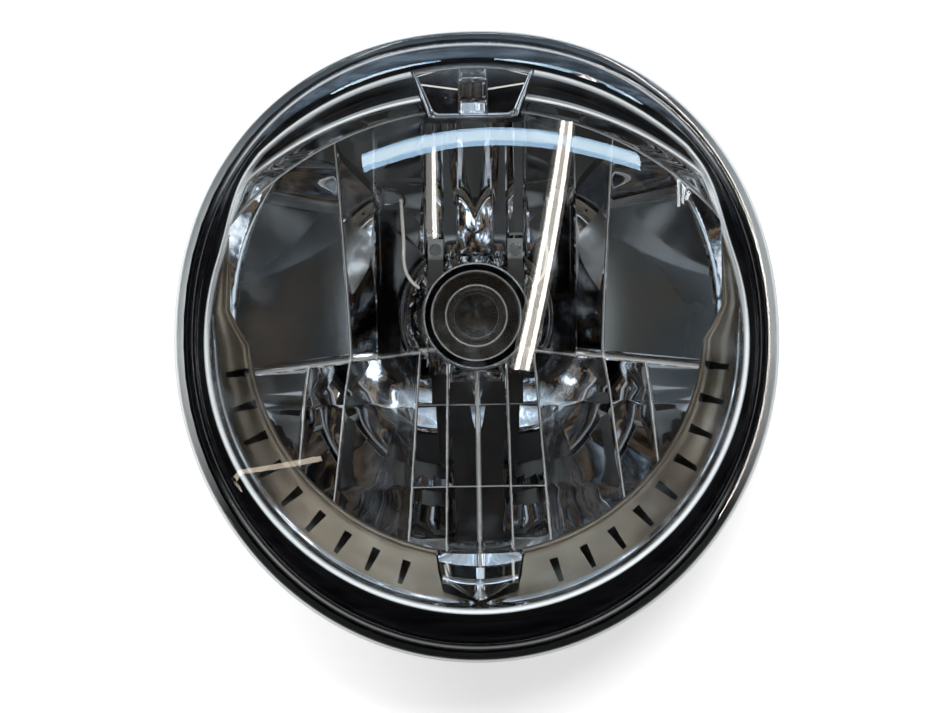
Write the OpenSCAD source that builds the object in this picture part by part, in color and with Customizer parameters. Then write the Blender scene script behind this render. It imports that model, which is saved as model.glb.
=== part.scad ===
// Round motorcycle headlight unit: clear lens, chrome bezel, faceted reflector, bulb and housing.
// The front faces -Y, +Z is up, and Y = 0 is the plane of the three rear boss faces.

/* [Outline] */
// Half of the unit's width over the lens flange
half_w = 92.1; // [88:0.1:98]
// Reach of the outline above the lens axis
reach_up = 95.2; // [91:0.1:101]
// Reach of the outline below the lens axis
reach_down = 97.6; // [93:0.1:103]
// Fullness of the upper shoulders, where 2 is an ellipse
shoulder_power = 2.15; // [2:0.01:2.3]
// Number of facets round the outline
around = 60; // [48:4:72]

/* [Lens] */
// Height of the lens dome above its crease
dome_rise = 19; // [14:0.5:24]
// Distance from the flange's rear face to the crease
crease_height = 15; // [14:0.5:18]
// Thickness of the lens wall
lens_wall = 2.6; // [2:0.1:3]
// Thickness of the lens flange
flange_t = 3; // [2.4:0.1:4]
// Width of the flange outside the lens skirt
flange_w = 4.7; // [4:0.1:5.4]
// Distance of the crease outside the chrome bead
crease_margin = 2; // [1.6:0.1:2.4]

/* [Lens seat] */
// Distance of the glue groove from the outline
groove_in = 2.8; // [2:0.1:3.2]
// Width of the glue groove
groove_w = 3.8; // [3:0.1:4.2]
// Depth of the glue groove
groove_d = 4.2; // [3.6:0.1:5]
// Depth of the sealant left under the lens tongue
sealant_t = 1.2; // [0.8:0.1:2]
// Clearance on each side of the lens tongue
tongue_gap = 0.6; // [0.3:0.1:0.9]

/* [Bezel] */
// Distance of the chrome bead from the outline at the sides
bead_in = 10.1; // [9.6:0.1:13]
// Radius of the arc that forms the bead over the top
crown_r = 95.6; // [94:0.1:96]
// Distance of that arc's top below the outline's top
crown_in = 11.8; // [11.4:0.1:13]
// Radius of the arc that forms the brow lip
lip_r = 108.5; // [107:0.1:109]
// Distance of the lip's top below the bead's top
lip_in = 8.7; // [8:0.1:9.6]
// Distance of the lower opening from the bead at the sides
opening_in = 13.5; // [12.5:0.1:15]
// Height of the lower opening's centre
opening_z = 5; // [4:0.1:6]
// Radius of the arc that bounds the upper opening
upper_r = 96.5; // [95:0.1:98]
// Distance of the upper opening's top below the bead's top
upper_in = 12.9; // [12:0.1:14]
// Distance of the upper opening from the bead at the sides
side_in = 7.7; // [7:0.1:10]
// Thickness of the bezel wall
bezel_wall = 1.3; // [1:0.1:1.8]
// Slots on each side of the bezel
slot_count = 9; // [5:1:9]
// Angle between two slots
slot_pitch = 8.1; // [7:0.1:8.4]
// Angle of the first slot below the horizontal
slot_first = 6.6; // [5:0.1:8]
// Width of a slot at its inner end
slot_w_in = 2.7; // [2:0.1:3.2]
// Width of a slot at its outer end
slot_w_out = 1.5; // [1:0.1:2]
// Distance of the slots' outer ends from the bead
slot_end_in = 5.3; // [5:0.1:7]

/* [Reflector] */
// Focal length of the reflector's base dish
focal = 27; // [26:0.1:28]
// Height of the bulb above the lens axis
bulb_z = 8; // [6.5:0.1:9]
// Thickness of the reflector wall
reflector_wall = 2.2; // [1.8:0.1:2.6]
// Tilt of each lower facet across its width
facet_tilt = 2.4; // [1:0.1:2.8]
// Tilt of each flute above the bulb
flute_tilt = 1.2; // [0.6:0.1:1.6]
// Depth of the pockets beside the fluted column
pocket_d = 6; // [3:0.1:7]
// Drop of the crease at the middle
crease_z0 = -0.4; // [-1:0.1:0]
// Slope of the crease towards the sides
crease_slope = 0.126; // [0.1:0.002:0.15]
// Width of the chin under the middle facets
chin_w = 26; // [22:0.5:30]

/* [Bulb] */
// Radius of the bulb opening in the reflector
socket_r = 19.3; // [19:0.1:20]
// Radius of the bulb glass
glass_r = 8.5; // [8:0.1:9]
// Radius of the bulb's seating flange
seat_r = 21.5; // [21:0.1:22]
// Thickness of the seating flange
seat_t = 1.2; // [1:0.1:1.6]
// Diameter of the clip wire
wire_d = 1.6; // [1.2:0.1:2]

/* [Bulb shield] */
// Outer radius of the bulb shield
shield_r = 16.2; // [15:0.1:17]
// Depth of the shield cup
shield_d = 16; // [13:0.5:18]
// Thickness of the shield's sheet
shield_t = 1; // [0.8:0.1:1.2]
// Width of the shield's two legs
leg_w = 4.7; // [4:0.1:5.2]

/* [Position lamp] */
// Half width of the lamp window at its lower bar
window_low = 14.4; // [13:0.1:15]
// Half width of the lamp window at its top
window_high = 18.6; // [17:0.1:19]
// Height of the lamp window from its lower edge to the bead
window_h = 16.4; // [15.8:0.1:16.8]
// Thickness of the window frame's bars
frame_bar = 1.6; // [1.2:0.1:2]
// Width of the bar in the middle of the window
middle_bar = 8.6; // [7:0.1:10]
// Height of the position bulb above the window's lower edge
position_up = 9; // [8.4:0.1:9.4]

/* [Housing] */
// Thickness of the housing wall
housing_wall = 2.4; // [2:0.1:3]
// Thickness of the housing's rim
rim_t = 7.5; // [7:0.1:9]
// Radius of the housing's rear wall
rear_r = 60; // [58:0.5:63]
// Outer radius of the neck behind the bulb
neck_r = 36; // [35:0.1:37]
// Length of the neck
neck_len = 10; // [9:0.5:13]

/* [Rear bosses] */
// Diameter of the circle through the three bosses
boss_pcd = 150; // [146:1:152]
// Radius of each boss
boss_r = 6.5; // [6:0.1:7.5]
// Distance from the lens flange to the boss faces
boss_face = 40; // [38:0.5:44]
// Outer radius of the threaded insert
insert_r = 4.2; // [3.8:0.1:4.6]
// Core radius of the insert's thread
thread_core_r = 2.5; // [2:0.1:2.75]
// Length of the insert
insert_len = 10; // [8:0.5:11]

/* [Hidden] */
$fn = 96;

apex_y = -(crease_height + dome_rise);
bead_r = half_w - bead_in;
crown_top = reach_up - crown_in;
crown_z = crown_top - crown_r;
lip_z = crown_top - lip_in - lip_r;
opening_r = bead_r - opening_in;
upper_z = crown_top - upper_in - upper_r;
upper_half_w = bead_r - side_in;
window_gap = 0.6;
window_z = crown_top + window_gap - window_h;
position_z = window_z + position_up;
land_in = groove_in + groove_w;
tongue_in = groove_in + tongue_gap;
tongue_w = groove_w - 2 * tongue_gap;
tongue_len = groove_d - sealant_t;
skirt_in = flange_w + lens_wall;
seat_gap = 0.4;
bezel_out = skirt_in + seat_gap;
bezel_in = bezel_out + bezel_wall;
rim_inner = bezel_in + 0.1;
body_in = rim_inner - housing_wall - 0.3;
bead_y = -(crease_height - lens_wall) + 0.6;
lip_y = bead_y + 4;
trough_y = bead_y + 7;
edge_gap = 3;
flatten_from = 50;
vertex_y = 52;
seat_y = vertex_y + 2;
collar_wall = 3.6;
rear_y = vertex_y + 1;
rear_front_y = rear_y - housing_wall;
running_gap = 0.1;
trim_margin = 2;
slot_start_in = 2.9;

function lerp(a, b, t) = a + (b - a) * t;
function clamp01(t) = min(1, max(0, t));
function smooth(a, b, t) = let (k = clamp01((t - a) / (b - a))) k * k * (3 - 2 * k);
function folded(t) = t > 90 ? 180 - t : t;

// Outline of the unit as a radius at each angle: an ellipse below, a fuller curve above
function outline_r(t) =
    let (up = sin(t) >= 0, p = up ? shoulder_power : 2, h = up ? reach_up : reach_down)
    pow(pow(abs(cos(t)) / half_w, p) + pow(abs(sin(t)) / h, p), -1 / p);

// Radius at angle t of a circle of radius r whose centre lies at height c
function arc_r(t, r, c) = c * sin(t) + sqrt(r * r - pow(c * cos(t), 2));

function bead_radius(t) =
    lerp(bead_r, min(arc_r(t, crown_r, crown_z), outline_r(t) - bezel_out - 1), smooth(18, 38, folded(t)));
lip_radius = function (t) min(arc_r(t, lip_r, lip_z), bead_radius(t) - 1.4);
function side_radius(t) = upper_half_w / max(0.2, cos(folded(t)));
function opening_radius(t) =
    let (f = folded(t), low = arc_r(t, opening_r, opening_z), high = arc_r(t, upper_r, upper_z))
    f <= 0 ? low : lerp(low, min(side_radius(t), high), clamp01(f / 8));

// Depth of the dish: a paraboloid that flattens near the brows, where it would meet the lens
function dish_y(x, z) =
    let (rise = (x * x + pow(z - bulb_z, 2)) / (4 * focal))
    vertex_y - min(rise, lerp(flatten_from, rise, 0.4));
function edge_y(t) = dish_y(opening_radius(t) * cos(t), opening_radius(t) * sin(t)) - edge_gap;

// Places the model so that Y = 0 is the plane of the boss faces
module placed() {
    translate([0, -boss_face, 0])
        children();
}

// Turns a flat outline in X and Y up into the X and Z plane, from depth y0 to y1
module slab(y0, y1) {
    translate([0, y1, 0])
        rotate([90, 0, 0])
            linear_extrude(y1 - y0)
                children();
}

// Turns a profile of radius and depth round a line along Y at height z
module turned(z = 0, x = 0) {
    translate([x, 0, z])
        rotate([-90, 0, 0])
            rotate_extrude()
                children();
}

module rod(x, z, r, y0, y1) {
    translate([x, y0, z])
        rotate([-90, 0, 0])
            cylinder(r = r, h = y1 - y0);
}

module tube(x, z, r_out, r_in, y0, y1) {
    turned(z, x)
        translate([r_in, y0])
            square([r_out - r_in, y1 - y0]);
}

module mirrored_x() {
    children();
    mirror([1, 0, 0])
        children();
}

function outline_points(inset) =
    [for (i = [0 : around - 1]) let (t = i * 360 / around) (outline_r(t) - inset) * [cos(t), sin(t)]];

module outline_ring(inset_out, inset_in) {
    difference() {
        polygon(outline_points(inset_out));
        polygon(outline_points(inset_in));
    }
}

// A ring of points round the axis, from the radius and depth that function literals give
function ring(radius, depth) =
    [for (i = [0 : around - 1]) let (t = i * 360 / around - 90) [radius(t) * cos(t), depth(t), radius(t) * sin(t)]];

function band_faces(a, b, n) =
    [for (i = [0 : n - 1]) let (j = (i + 1) % n) each [[a + i, a + j, b + j], [a + i, b + j, b + i]]];

function flat_list(rows) = [for (row = rows) each row];

// Closed shell with a point at each end
module shell_loft(first, rings, last) {
    n = len(rings[0]);
    count = len(rings);
    points = concat([first], flat_list(rings), [last]);
    bands = [for (k = [0 : count - 2]) each band_faces(1 + k * n, 1 + (k + 1) * n, n)];
    end = count * n + 1;
    start_fan = [for (i = [0 : n - 1]) [0, 1 + (i + 1) % n, 1 + i]];
    end_fan = [for (i = [0 : n - 1]) [end, end - n + i, end - n + (i + 1) % n]];
    polyhedron(points, concat(start_fan, bands, end_fan), convexity = 6);
}

// Closed ring whose section runs through all the rings and back to the first
module ring_loft(rings) {
    n = len(rings[0]);
    count = len(rings);
    bands = [for (k = [0 : count - 1]) each band_faces(k * n, ((k + 1) % count) * n, n)];
    polyhedron(flat_list(rings), bands, convexity = 8);
}

// Sheet of even thickness along Y over a grid of points
module grid_sheet(grid, thickness) {
    rows = len(grid);
    cols = len(grid[0]);
    front = flat_list(grid);
    back = [for (p = front) p + [0, thickness, 0]];
    size = rows * cols;
    faces_front = [for (j = [0 : rows - 2], i = [0 : cols - 2]) let (a = j * cols + i, b = a + cols)
        each [[a, b, b + 1], [a, b + 1, a + 1]]];
    faces_back = [for (f = faces_front) [size + f[2], size + f[1], size + f[0]]];
    edge = concat([for (i = [0 : cols - 1]) i],
        [for (j = [1 : rows - 1]) j * cols + cols - 1],
        [for (i = [cols - 2 : -1 : 0]) (rows - 1) * cols + i],
        [for (j = [rows - 2 : -1 : 1]) j * cols]);
    walls = [for (k = [0 : len(edge) - 1]) let (a = edge[k], b = edge[(k + 1) % len(edge)])
        each [[a, b, b + size], [a, b + size, a + size]]];
    polyhedron(concat(front, back), concat(faces_front, faces_back, walls), convexity = 8);
}

// Lens

dome_steps = [0.2, 0.4, 0.6, 0.8, 0.93, 1];
dome_sphere = (pow(bead_r + crease_margin, 2) + pow(dome_rise, 2)) / (2 * dome_rise);

function crease_radius(t) = bead_radius(t) + crease_margin;
function dome_y(s) = apex_y + dome_sphere - sqrt(pow(dome_sphere, 2) - pow((bead_r + crease_margin) * s, 2));
function dome_ring(s, inset, back) = ring(function (t) s * (crease_radius(t) - inset), function (t) dome_y(s) + back);
function shoulder_ring(mix, inset, y) =
    ring(function (t) lerp(crease_radius(t), outline_r(t) - flange_w - 0.5, mix) - inset, function (t) y);
function oval_ring(inset, y) = ring(function (t) outline_r(t) - inset, function (t) y);

module lens() {
    wall = lens_wall;
    rings = concat(
        [for (s = dome_steps) dome_ring(s, 0, 0)],
        [shoulder_ring(0.35, 0, -crease_height + 0.9), shoulder_ring(0.72, 0, -crease_height + 3.2),
            shoulder_ring(1, 0, -crease_height + 7)],
        [oval_ring(flange_w, -flange_t - 0.6), oval_ring(flange_w - 0.6, -flange_t), oval_ring(0.4, -flange_t),
            oval_ring(0, -flange_t + 0.4), oval_ring(0, 0)],
        [oval_ring(tongue_in, 0), oval_ring(tongue_in, tongue_len), oval_ring(tongue_in + tongue_w, tongue_len),
            oval_ring(tongue_in + tongue_w, 0)],
        [oval_ring(skirt_in, 0), oval_ring(skirt_in, -flange_t)],
        [shoulder_ring(1, wall - 0.4, -crease_height + 8), shoulder_ring(0.65, wall - 0.8, -crease_height + 5),
            dome_ring(1, 0.9, wall)],
        [for (k = [len(dome_steps) - 2 : -1 : 0]) dome_ring(dome_steps[k], 0.9, wall)]);
    color("lightcyan", 0.4)
        placed()
            shell_loft([0, apex_y, 0], rings, [0, apex_y + wall, 0]);
}

module lens_sealant() {
    color("dimgray")
        placed()
            slab(tongue_len, groove_d)
                outline_ring(groove_in, land_in);
}

// Housing

boss_angles = [30, 150, 270];
screw_angles = [30, 150, 270];
screw_circle = 48;
screw_start = 39;
post_r = 4.5;
pilot_r = 1.7;
breather_x = 46;
nipple_r = 4;
holder_r = 6.6;
holder_tube_y = boss_face - 2;
box_back_y = 13;
boss_start = 18;
lamp_pocket_z = position_z - 1.6;
well_r = holder_r + 3.6;
well_y = 32;

module at_angles(angles, radius, z = 0) {
    for (a = angles)
        translate([radius * cos(a), 0, z + radius * sin(a)])
            children();
}

module body_form(front_inset, rear_radius, y0, y1) {
    hull() {
        slab(y0, y0 + 0.5)
            polygon(outline_points(front_inset));
        rod(0, bulb_z, rear_radius, y1 - 0.5, y1);
    }
}

// Room for the position lamp, above the height where the body would cut into it
module lamp_pocket(margin, y0, y1) {
    slab(y0, y1)
        intersection() {
            offset(delta = margin)
                window_outline();
            translate([-50, lamp_pocket_z])
                square([100, 50]);
        }
}

module housing() {
    color("#8c8c86")
        placed()
            difference() {
                union() {
                    difference() {
                        union() {
                            slab(0, rim_t)
                                polygon(outline_points(0));
                            body_form(body_in, rear_r, rim_t - 0.5, rear_y);
                            lamp_pocket(seat_gap + housing_wall, rim_t - 2, box_back_y + housing_wall);
                        }
                        slab(-1, rim_t - 2)
                            polygon(outline_points(rim_inner));
                        body_form(rim_inner, rear_r - housing_wall, rim_t - 2.5, rear_front_y);
                        lamp_pocket(seat_gap, -1, box_back_y);
                    }
                    tube(0, bulb_z, neck_r, neck_r - housing_wall, rear_front_y, rear_y + neck_len);
                    at_angles(boss_angles, boss_pcd / 2)
                        rod(0, 0, boss_r, boss_start, boss_face);
                    rod(0, position_z, holder_r + 1.9, box_back_y, holder_tube_y);
                    rod(0, position_z, well_r + housing_wall, well_y, rear_front_y + 0.5);
                    mirrored_x()
                        rod(breather_x, bulb_z, nipple_r, rear_front_y, rear_y + 12);
                }
                slab(-1, groove_d)
                    outline_ring(groove_in, land_in);
                rod(0, bulb_z, neck_r - housing_wall, rear_front_y - 1, rear_y + neck_len + 1);
                rod(0, position_z, holder_r, box_back_y - 1, holder_tube_y + 1);
                rod(0, position_z, well_r, holder_tube_y, rear_y + 1);
                at_angles(boss_angles, boss_pcd / 2)
                    rod(0, 0, insert_r, boss_face - insert_len, boss_face + 1);
                at_angles(screw_angles, screw_circle, bulb_z)
                    rod(0, 0, pilot_r, rear_front_y - 1, rear_y + 1);
                mirrored_x()
                    rod(breather_x, bulb_z, nipple_r - 1.5, rear_front_y - 1, rear_y + 13);
            }
}

module mount_inserts() {
    color("goldenrod")
        placed()
            at_angles(boss_angles, boss_pcd / 2)
                tube(0, 0, insert_r, thread_core_r, boss_face - insert_len, boss_face);
}

// Bezel

function brow(t) = smooth(24, 36, folded(t));
function bezel_ring(r_low, r_high, y_low, y_high) = ring(
    function (t) lerp(r_low(t), r_high(t), brow(t)),
    function (t) lerp(y_low(t), y_high(t), brow(t)));

module slot(k, side) {
    t = -(slot_first + slot_pitch * k);
    start = opening_radius(t) + slot_start_in;
    end = bead_r - slot_end_in;
    mirror([side, 0, 0])
        rotate([0, -t, 0])
            slab(-16, 12)
                polygon([[start, -slot_w_in / 2], [end, -slot_w_out / 2], [end, slot_w_out / 2], [start, slot_w_in / 2]]);
}

module bezel() {
    open_r = function (t) opening_radius(t);
    bead = function (t) bead_radius(t);
    span = function (t) min(1, (bead(t) - open_r(t)) / 14);
    trough_r = function (t) lerp(lip_radius(t), bead(t) - 1.2, 0.5);
    mid_r = function (t) lerp(open_r(t), bead(t), 0.5);
    mid_y = function (t) lerp(edge_y(t) - 1.2, lip_y, 0.5);
    w = bezel_wall;
    rings = [
        ring(open_r, function (t) edge_y(t)),
        ring(function (t) open_r(t) + 1.2 * span(t), function (t) edge_y(t) - 1.6),
        bezel_ring(function (t) open_r(t) + 2.4 * span(t), function (t) lerp(open_r(t), lip_radius(t), 0.5),
            function (t) edge_y(t) - 1.2, function (t) lerp(edge_y(t) - 1.6, lip_y, 0.45)),
        bezel_ring(mid_r, lip_radius, mid_y, function (t) lip_y),
        bezel_ring(function (t) bead(t) - 3.2 * span(t), trough_r, function (t) lip_y, function (t) trough_y),
        ring(function (t) bead(t) - 1.2 * span(t), function (t) bead_y + 1),
        ring(bead, function (t) bead_y),
        ring(function (t) bead(t) + 0.6, function (t) bead_y + 1.2),
        ring(function (t) outline_r(t) - bezel_out, function (t) -1.5),
        ring(function (t) outline_r(t) - bezel_out, function (t) 0),
        ring(function (t) outline_r(t) - bezel_in, function (t) 0),
        ring(function (t) bead(t) + 0.1, function (t) bead_y + 2.6),
        bezel_ring(function (t) bead(t) - 3.2 * span(t) + 0.7 * w, trough_r,
            function (t) lip_y + 0.8 * w, function (t) trough_y + w),
        bezel_ring(function (t) mid_r(t) + 0.7 * w, function (t) lip_radius(t) + 0.3,
            function (t) mid_y(t) + 0.8 * w, function (t) lip_y + 2 * w),
        ring(function (t) open_r(t) + 0.9 * w, function (t) edge_y(t) - 0.3),
    ];
    color("silver")
        placed()
            difference() {
                ring_loft(rings);
                for (k = [0 : slot_count - 1], side = [0, 1])
                    slot(k, side);
                slab(-16, box_back_y + 8)
                    offset(delta = seat_gap)
                        window_outline();
                slab(-16, 20)
                    offset(delta = seat_gap)
                        chin_outline();
            }
}

// Reflector

facet_end = bead_r - 2;
// Lower facets, from the middle outwards: edge at the crease, edge at the bottom, steps across, tilt, offset
lower_facets = [[0, 0, 1, 1, 0], [9, 10, 1, 1, -0.6], [17.5, 21.6, 3, 1, 0], [39, 45.3, 2, 1, 0],
    [51.4, 56.3, 2, 0.8, 0], [facet_end, facet_end, 0, 0, 0]];
// Upper facets, from the middle outwards: edge at the crease, edge at the top, steps across, tilt, pocket share
upper_facets = [[0, 0, 1, 1, 0], [5.3, 5.3, 1, 1, 0], [10, 10, 1, 1, 0], [15.4, 15.4, 2, 0, 1],
    [30.6, 30.6, 1, 0.5, 0], [38.7, 42.2, 3, 0.8, 0], [facet_end, facet_end, 0, 0, 0]];
pocket_wall_x = 23;
lower_depth = 60;
upper_height = 60;
step_half = 0.25;
lower_levels = [0, -5, -10, -15, -18.9, -19.5, -31.5, -43.9, -44.5, -52, -60, 6 - bead_r];
upper_levels = [-0.4, 7, 14, 22, 30, 38, 44, 50, 60, upper_r + upper_z + trim_margin + 3.5];
row_steps = [[-19.2, 1.1], [-44.2, 1.1]];

function crease_z(x) = crease_z0 - crease_slope * abs(x);
function level_z(x, level) = level + crease_z(x) * clamp01(1 - abs(level) / 15);

// Columns of one half as [facet, share across it]
function half_columns(facets) =
    [for (k = [0 : len(facets) - 2]) each [for (i = [0 : facets[k][2]]) [k, i / facets[k][2]]]];
function column_x(facets, col, share) =
    let (a = facets[col[0]], b = facets[col[0] + 1],
        inner = lerp(a[0], a[1], share) + (col[0] == 0 ? 0 : step_half), outer = lerp(b[0], b[1], share) - step_half)
    lerp(inner, outer, col[1]);

function row_drop(z) = smooth(-66, -56, z) * ([for (s = row_steps) z < s[0] ? s[1] : 0] * [for (s = row_steps) 1]);
function lower_y(x, z, col) =
    let (f = lower_facets[col[0]])
    dish_y(x, z) + facet_tilt * f[3] * (col[1] - 0.5) + f[4] - (col[0] < 2 ? row_drop(z) : 0);

function pocket(x, z) =
    smooth(50, 40, z) * smooth(20, 31, norm([x, z - bulb_z])) * (1 - clamp01((abs(x) - pocket_wall_x) / 7.4));
function upper_y(x, z, col) =
    let (f = upper_facets[col[0]], tilt = col[0] < 3 ? flute_tilt : facet_tilt)
    dish_y(x, z) + tilt * f[3] * (col[1] - 0.5) + (f[4] > 0 ? pocket_d * pocket(x, z) : 0);

function facet_grid(facets, levels, height, depth_at) =
    let (half = half_columns(facets),
        cols = concat([for (k = [len(half) - 1 : -1 : 1]) [half[k], -1]], [for (c = half) [c, 1]]))
    [for (level = levels) [for (c = cols)
        let (x = c[1] * column_x(facets, c[0], clamp01(abs(level) / height)), z = level_z(x, level))
        [x, depth_at(x, z, c[0]), z]]];

module opening_outline(margin) {
    polygon([for (i = [0 : 89]) let (t = i * 4 - 90, r = opening_radius(t) + margin) [r * cos(t), r * sin(t)]]);
}

chin_h = 19;
chin_bottom = 4 - bead_r;
chin_top = chin_bottom + chin_h;
chin_y = dish_y(0, chin_top) - 3;

module chin_outline() {
    half = chin_w / 2;
    translate([0, chin_bottom])
        polygon([[-half + 1.5, chin_h], [half - 1.5, chin_h], [half, 14], [half - 0.8, 8], [half - 2.2, 3], [2, 0],
            [-2, 0], [-half + 2.2, 3], [-half + 0.8, 8], [-half, 14]]);
}

// Stepped block that carries the middle facets down over the slotted ring
module chin() {
    intersection() {
        slab(chin_y - 21, chin_y + 7)
            chin_outline();
        translate([-chin_w / 2, chin_y, chin_bottom])
            rotate([90, 0, 90])
                linear_extrude(chin_w)
                    polygon([[0, chin_h], [2.2, chin_h], [2, 16.5], [-4.5, 11.2], [-10.5, 6.5], [-15.5, 0],
                        [-17.7, 0], [-15.9, 4.6], [-14.1, 5.4], [-12.9, 9], [-10.7, 10.2], [-9, 13.6], [-4.5, 15]]);
    }
}

module reflector() {
    color("gainsboro")
        placed()
            difference() {
                union() {
                    difference() {
                        intersection() {
                            union() {
                                grid_sheet(facet_grid(lower_facets, [for (k = [len(lower_levels) - 1 : -1 : 0])
                                    lower_levels[k]], lower_depth, function (x, z, c) lower_y(x, z, c)), reflector_wall);
                                grid_sheet(facet_grid(upper_facets, upper_levels, upper_height,
                                    function (x, z, c) upper_y(x, z, c)), reflector_wall);
                            }
                            slab(-30, 80)
                                opening_outline(trim_margin);
                        }
                        rod(0, bulb_z, socket_r, 30, 70);
                        rod(0, position_z, holder_r + 2.4, -20, 60);
                        slab(-20, box_back_y + 1)
                            offset(delta = seat_gap)
                                window_outline();
                    }
                    chin();
                    reflector_collar();
                    reflector_posts();
                }
                mirrored_x()
                    rod(foot_x, foot_z, rivet_r, foot_y - 1, foot_y + rivet_len);
            }
}

foot_y = 44;
foot_x = 12.3;
foot_z = 28.7;
clip_r = 28.5;
clip_screw_r = 1.5;
clip_y = seat_y + seat_t + wire_d / 2;
rivet_r = 1.1;
rivet_len = 3;

module reflector_collar() {
    tube(0, bulb_z, socket_r + collar_wall, socket_r, vertex_y - 5, seat_y);
    difference() {
        rod(0, bulb_z + clip_r, 3, vertex_y - 8, seat_y + seat_t);
        rod(0, bulb_z + clip_r, clip_screw_r, seat_y - 6, seat_y + seat_t + 1);
    }
    translate([-3, 0, bulb_z - clip_r])
        rotate([90, 0, 90])
            linear_extrude(6)
                polygon([[vertex_y - 8, -2], [clip_y + 3, -2], [clip_y + 3, 1.8], [clip_y + wire_d / 2, 1.8],
                    [clip_y + wire_d / 2, 0], [vertex_y - 8, 0]]);
    mirrored_x()
        translate([foot_x - leg_w / 2, foot_y, foot_z - 3.3])
            cube([leg_w, 5, 6.6]);
}

// The space in front of the dish, moved back by a margin
module dish_front(margin) {
    turned(bulb_z)
        polygon(concat([[0, -20], [70, -20]],
            [for (r = [70 : -5 : 0]) [r, dish_y(0, bulb_z + r) + margin]]));
}

module reflector_posts() {
    difference() {
        union() {
            difference() {
                at_angles([30, 150], screw_circle, bulb_z)
                    rod(0, 0, post_r, 20, rear_front_y);
                dish_front(0.6);
            }
            difference() {
                at_angles([270], screw_circle, bulb_z)
                    rod(0, 0, post_r, 20, rear_front_y);
                dish_front(-0.6);
            }
        }
        at_angles(screw_angles, screw_circle, bulb_z)
            rod(0, 0, pilot_r, screw_start - 1, rear_front_y + 1);
    }
}

module reflector_screws() {
    color("silver")
        placed()
            at_angles(screw_angles, screw_circle, bulb_z)
                difference() {
                    union() {
                        rod(0, 0, pilot_r - running_gap, screw_start, rear_y + 1);
                        rod(0, 0, 3.6, rear_y, rear_y + 2.4);
                    }
                    translate([-0.5, rear_y + 1.4, -2.4])
                        cube([1, 2, 4.8]);
                    translate([-2.4, rear_y + 1.4, -0.5])
                        cube([4.8, 2, 1]);
                }
}

// Position lamp

frame_front = bead_y + 1;
frame_back = frame_front + 4;
pane_t = 2;
box_wall = 1.5;

module window_outline(inset = 0) {
    half = [for (x = [window_high - inset : -3 : 0]) [x, crown_z - inset + sqrt(pow(crown_r + window_gap, 2) - x * x)]];
    mirrored = [for (k = [len(half) - 1 : -1 : 0]) [-half[k][0], half[k][1]]];
    polygon(concat([[-window_low + inset + 2.6, window_z + inset], [window_low - inset - 2.6, window_z + inset],
        [window_low - inset - 0.4, window_z + inset + 2]], half, mirrored,
        [[-window_low + inset + 0.4, window_z + inset + 2]]));
}

module position_lamp_frame() {
    color("silver")
        placed() {
            slab(frame_front, frame_back)
                difference() {
                    window_outline();
                    window_outline(frame_bar);
                }
            slab(frame_front + 0.8, frame_back)
                intersection() {
                    window_outline(frame_bar - 0.1);
                    union() {
                        translate([-middle_bar / 2, window_z])
                            square([middle_bar, 20]);
                        translate([-window_high, window_z + 9])
                            square([2 * window_high, 0.8]);
                    }
                }
        }
}

module position_lamp_pane() {
    color("#15161a")
        placed()
            slab(frame_back, frame_back + pane_t)
                window_outline(0.4);
}

module position_lamp_box() {
    color("#0c0c0e")
        placed()
            difference() {
                slab(frame_back + pane_t, box_back_y)
                    window_outline(0.4);
                slab(frame_back + pane_t - 1, box_back_y - box_wall)
                    window_outline(0.4 + box_wall);
                rod(0, position_z, 5.4, box_back_y - 4, box_back_y + 1);
            }
}

module position_bulb() {
    color("white", 0.5)
        placed()
            turned(position_z)
                polygon([[0, -1], [2.6, -0.2], [4.1, 2], [4.6, 5], [4.6, 15], [3.6, 19], [3.6, 26], [0, 26]]);
}

module position_bulb_holder() {
    color("#1b1b1b")
        placed()
            difference() {
                union() {
                    rod(0, position_z, holder_r - running_gap, 21, holder_tube_y + 3);
                    rod(0, position_z, holder_r + 3, holder_tube_y, holder_tube_y + 2);
                    translate([-5, holder_tube_y + 2, position_z - 2.5])
                        cube([10, 7, 5]);
                }
                rod(0, position_z, 3.6 + running_gap, 15, 26);
            }
}

// Bulb shield

shield_front = -9;
shield_back = shield_front + shield_d;

module bulb_shield() {
    r = shield_r;
    t = shield_t;
    color("#3a3a3c")
        placed()
            union() {
                turned(bulb_z)
                    polygon([[0, shield_front + 2], [r * 0.57, shield_front + 2], [r * 0.6, shield_front + 1.2],
                        [r * 0.83, shield_front + 0.8], [r * 0.86, shield_front], [r * 0.93, shield_front],
                        [r, shield_front + 1.6], [r, shield_back], [r - t, shield_back],
                        [r - t, shield_front + 2.2], [r * 0.62, shield_front + 1.9 + t],
                        [0, shield_front + 2 + t]]);
                intersection() {
                    rod(0, bulb_z, r - t / 2, shield_front + 0.6, shield_front + 2.6);
                    translate([-r, shield_front, bulb_z - r])
                        cube([2 * r, 4, r * 0.33]);
                }
            }
}

// Each leg runs back from the cup and turns up into a flat foot
module shield_leg() {
    z = bulb_z + sqrt(pow(shield_r - 0.8, 2) - pow(foot_x, 2));
    translate([foot_x - leg_w / 2, 0, 0])
        rotate([90, 0, 90])
            linear_extrude(leg_w)
                polygon([[shield_back, z - 0.5], [foot_y - 1, foot_z - 3.3], [foot_y, foot_z - 3.3],
                    [foot_y, foot_z + 3.3], [foot_y - 1, foot_z + 3.3], [foot_y - 1, foot_z - 2.2],
                    [shield_back, z + 0.5]]);
}

module shield_bracket() {
    color("#9a9a96")
        placed()
            union() {
                difference() {
                    mirrored_x()
                        shield_leg();
                    mirrored_x()
                        rod(foot_x, foot_z, rivet_r, foot_y - 3, foot_y + 2);
                }
                tube(0, bulb_z, shield_r, shield_r - 1.6, shield_back, shield_back + 1.2);
            }
}

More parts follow.
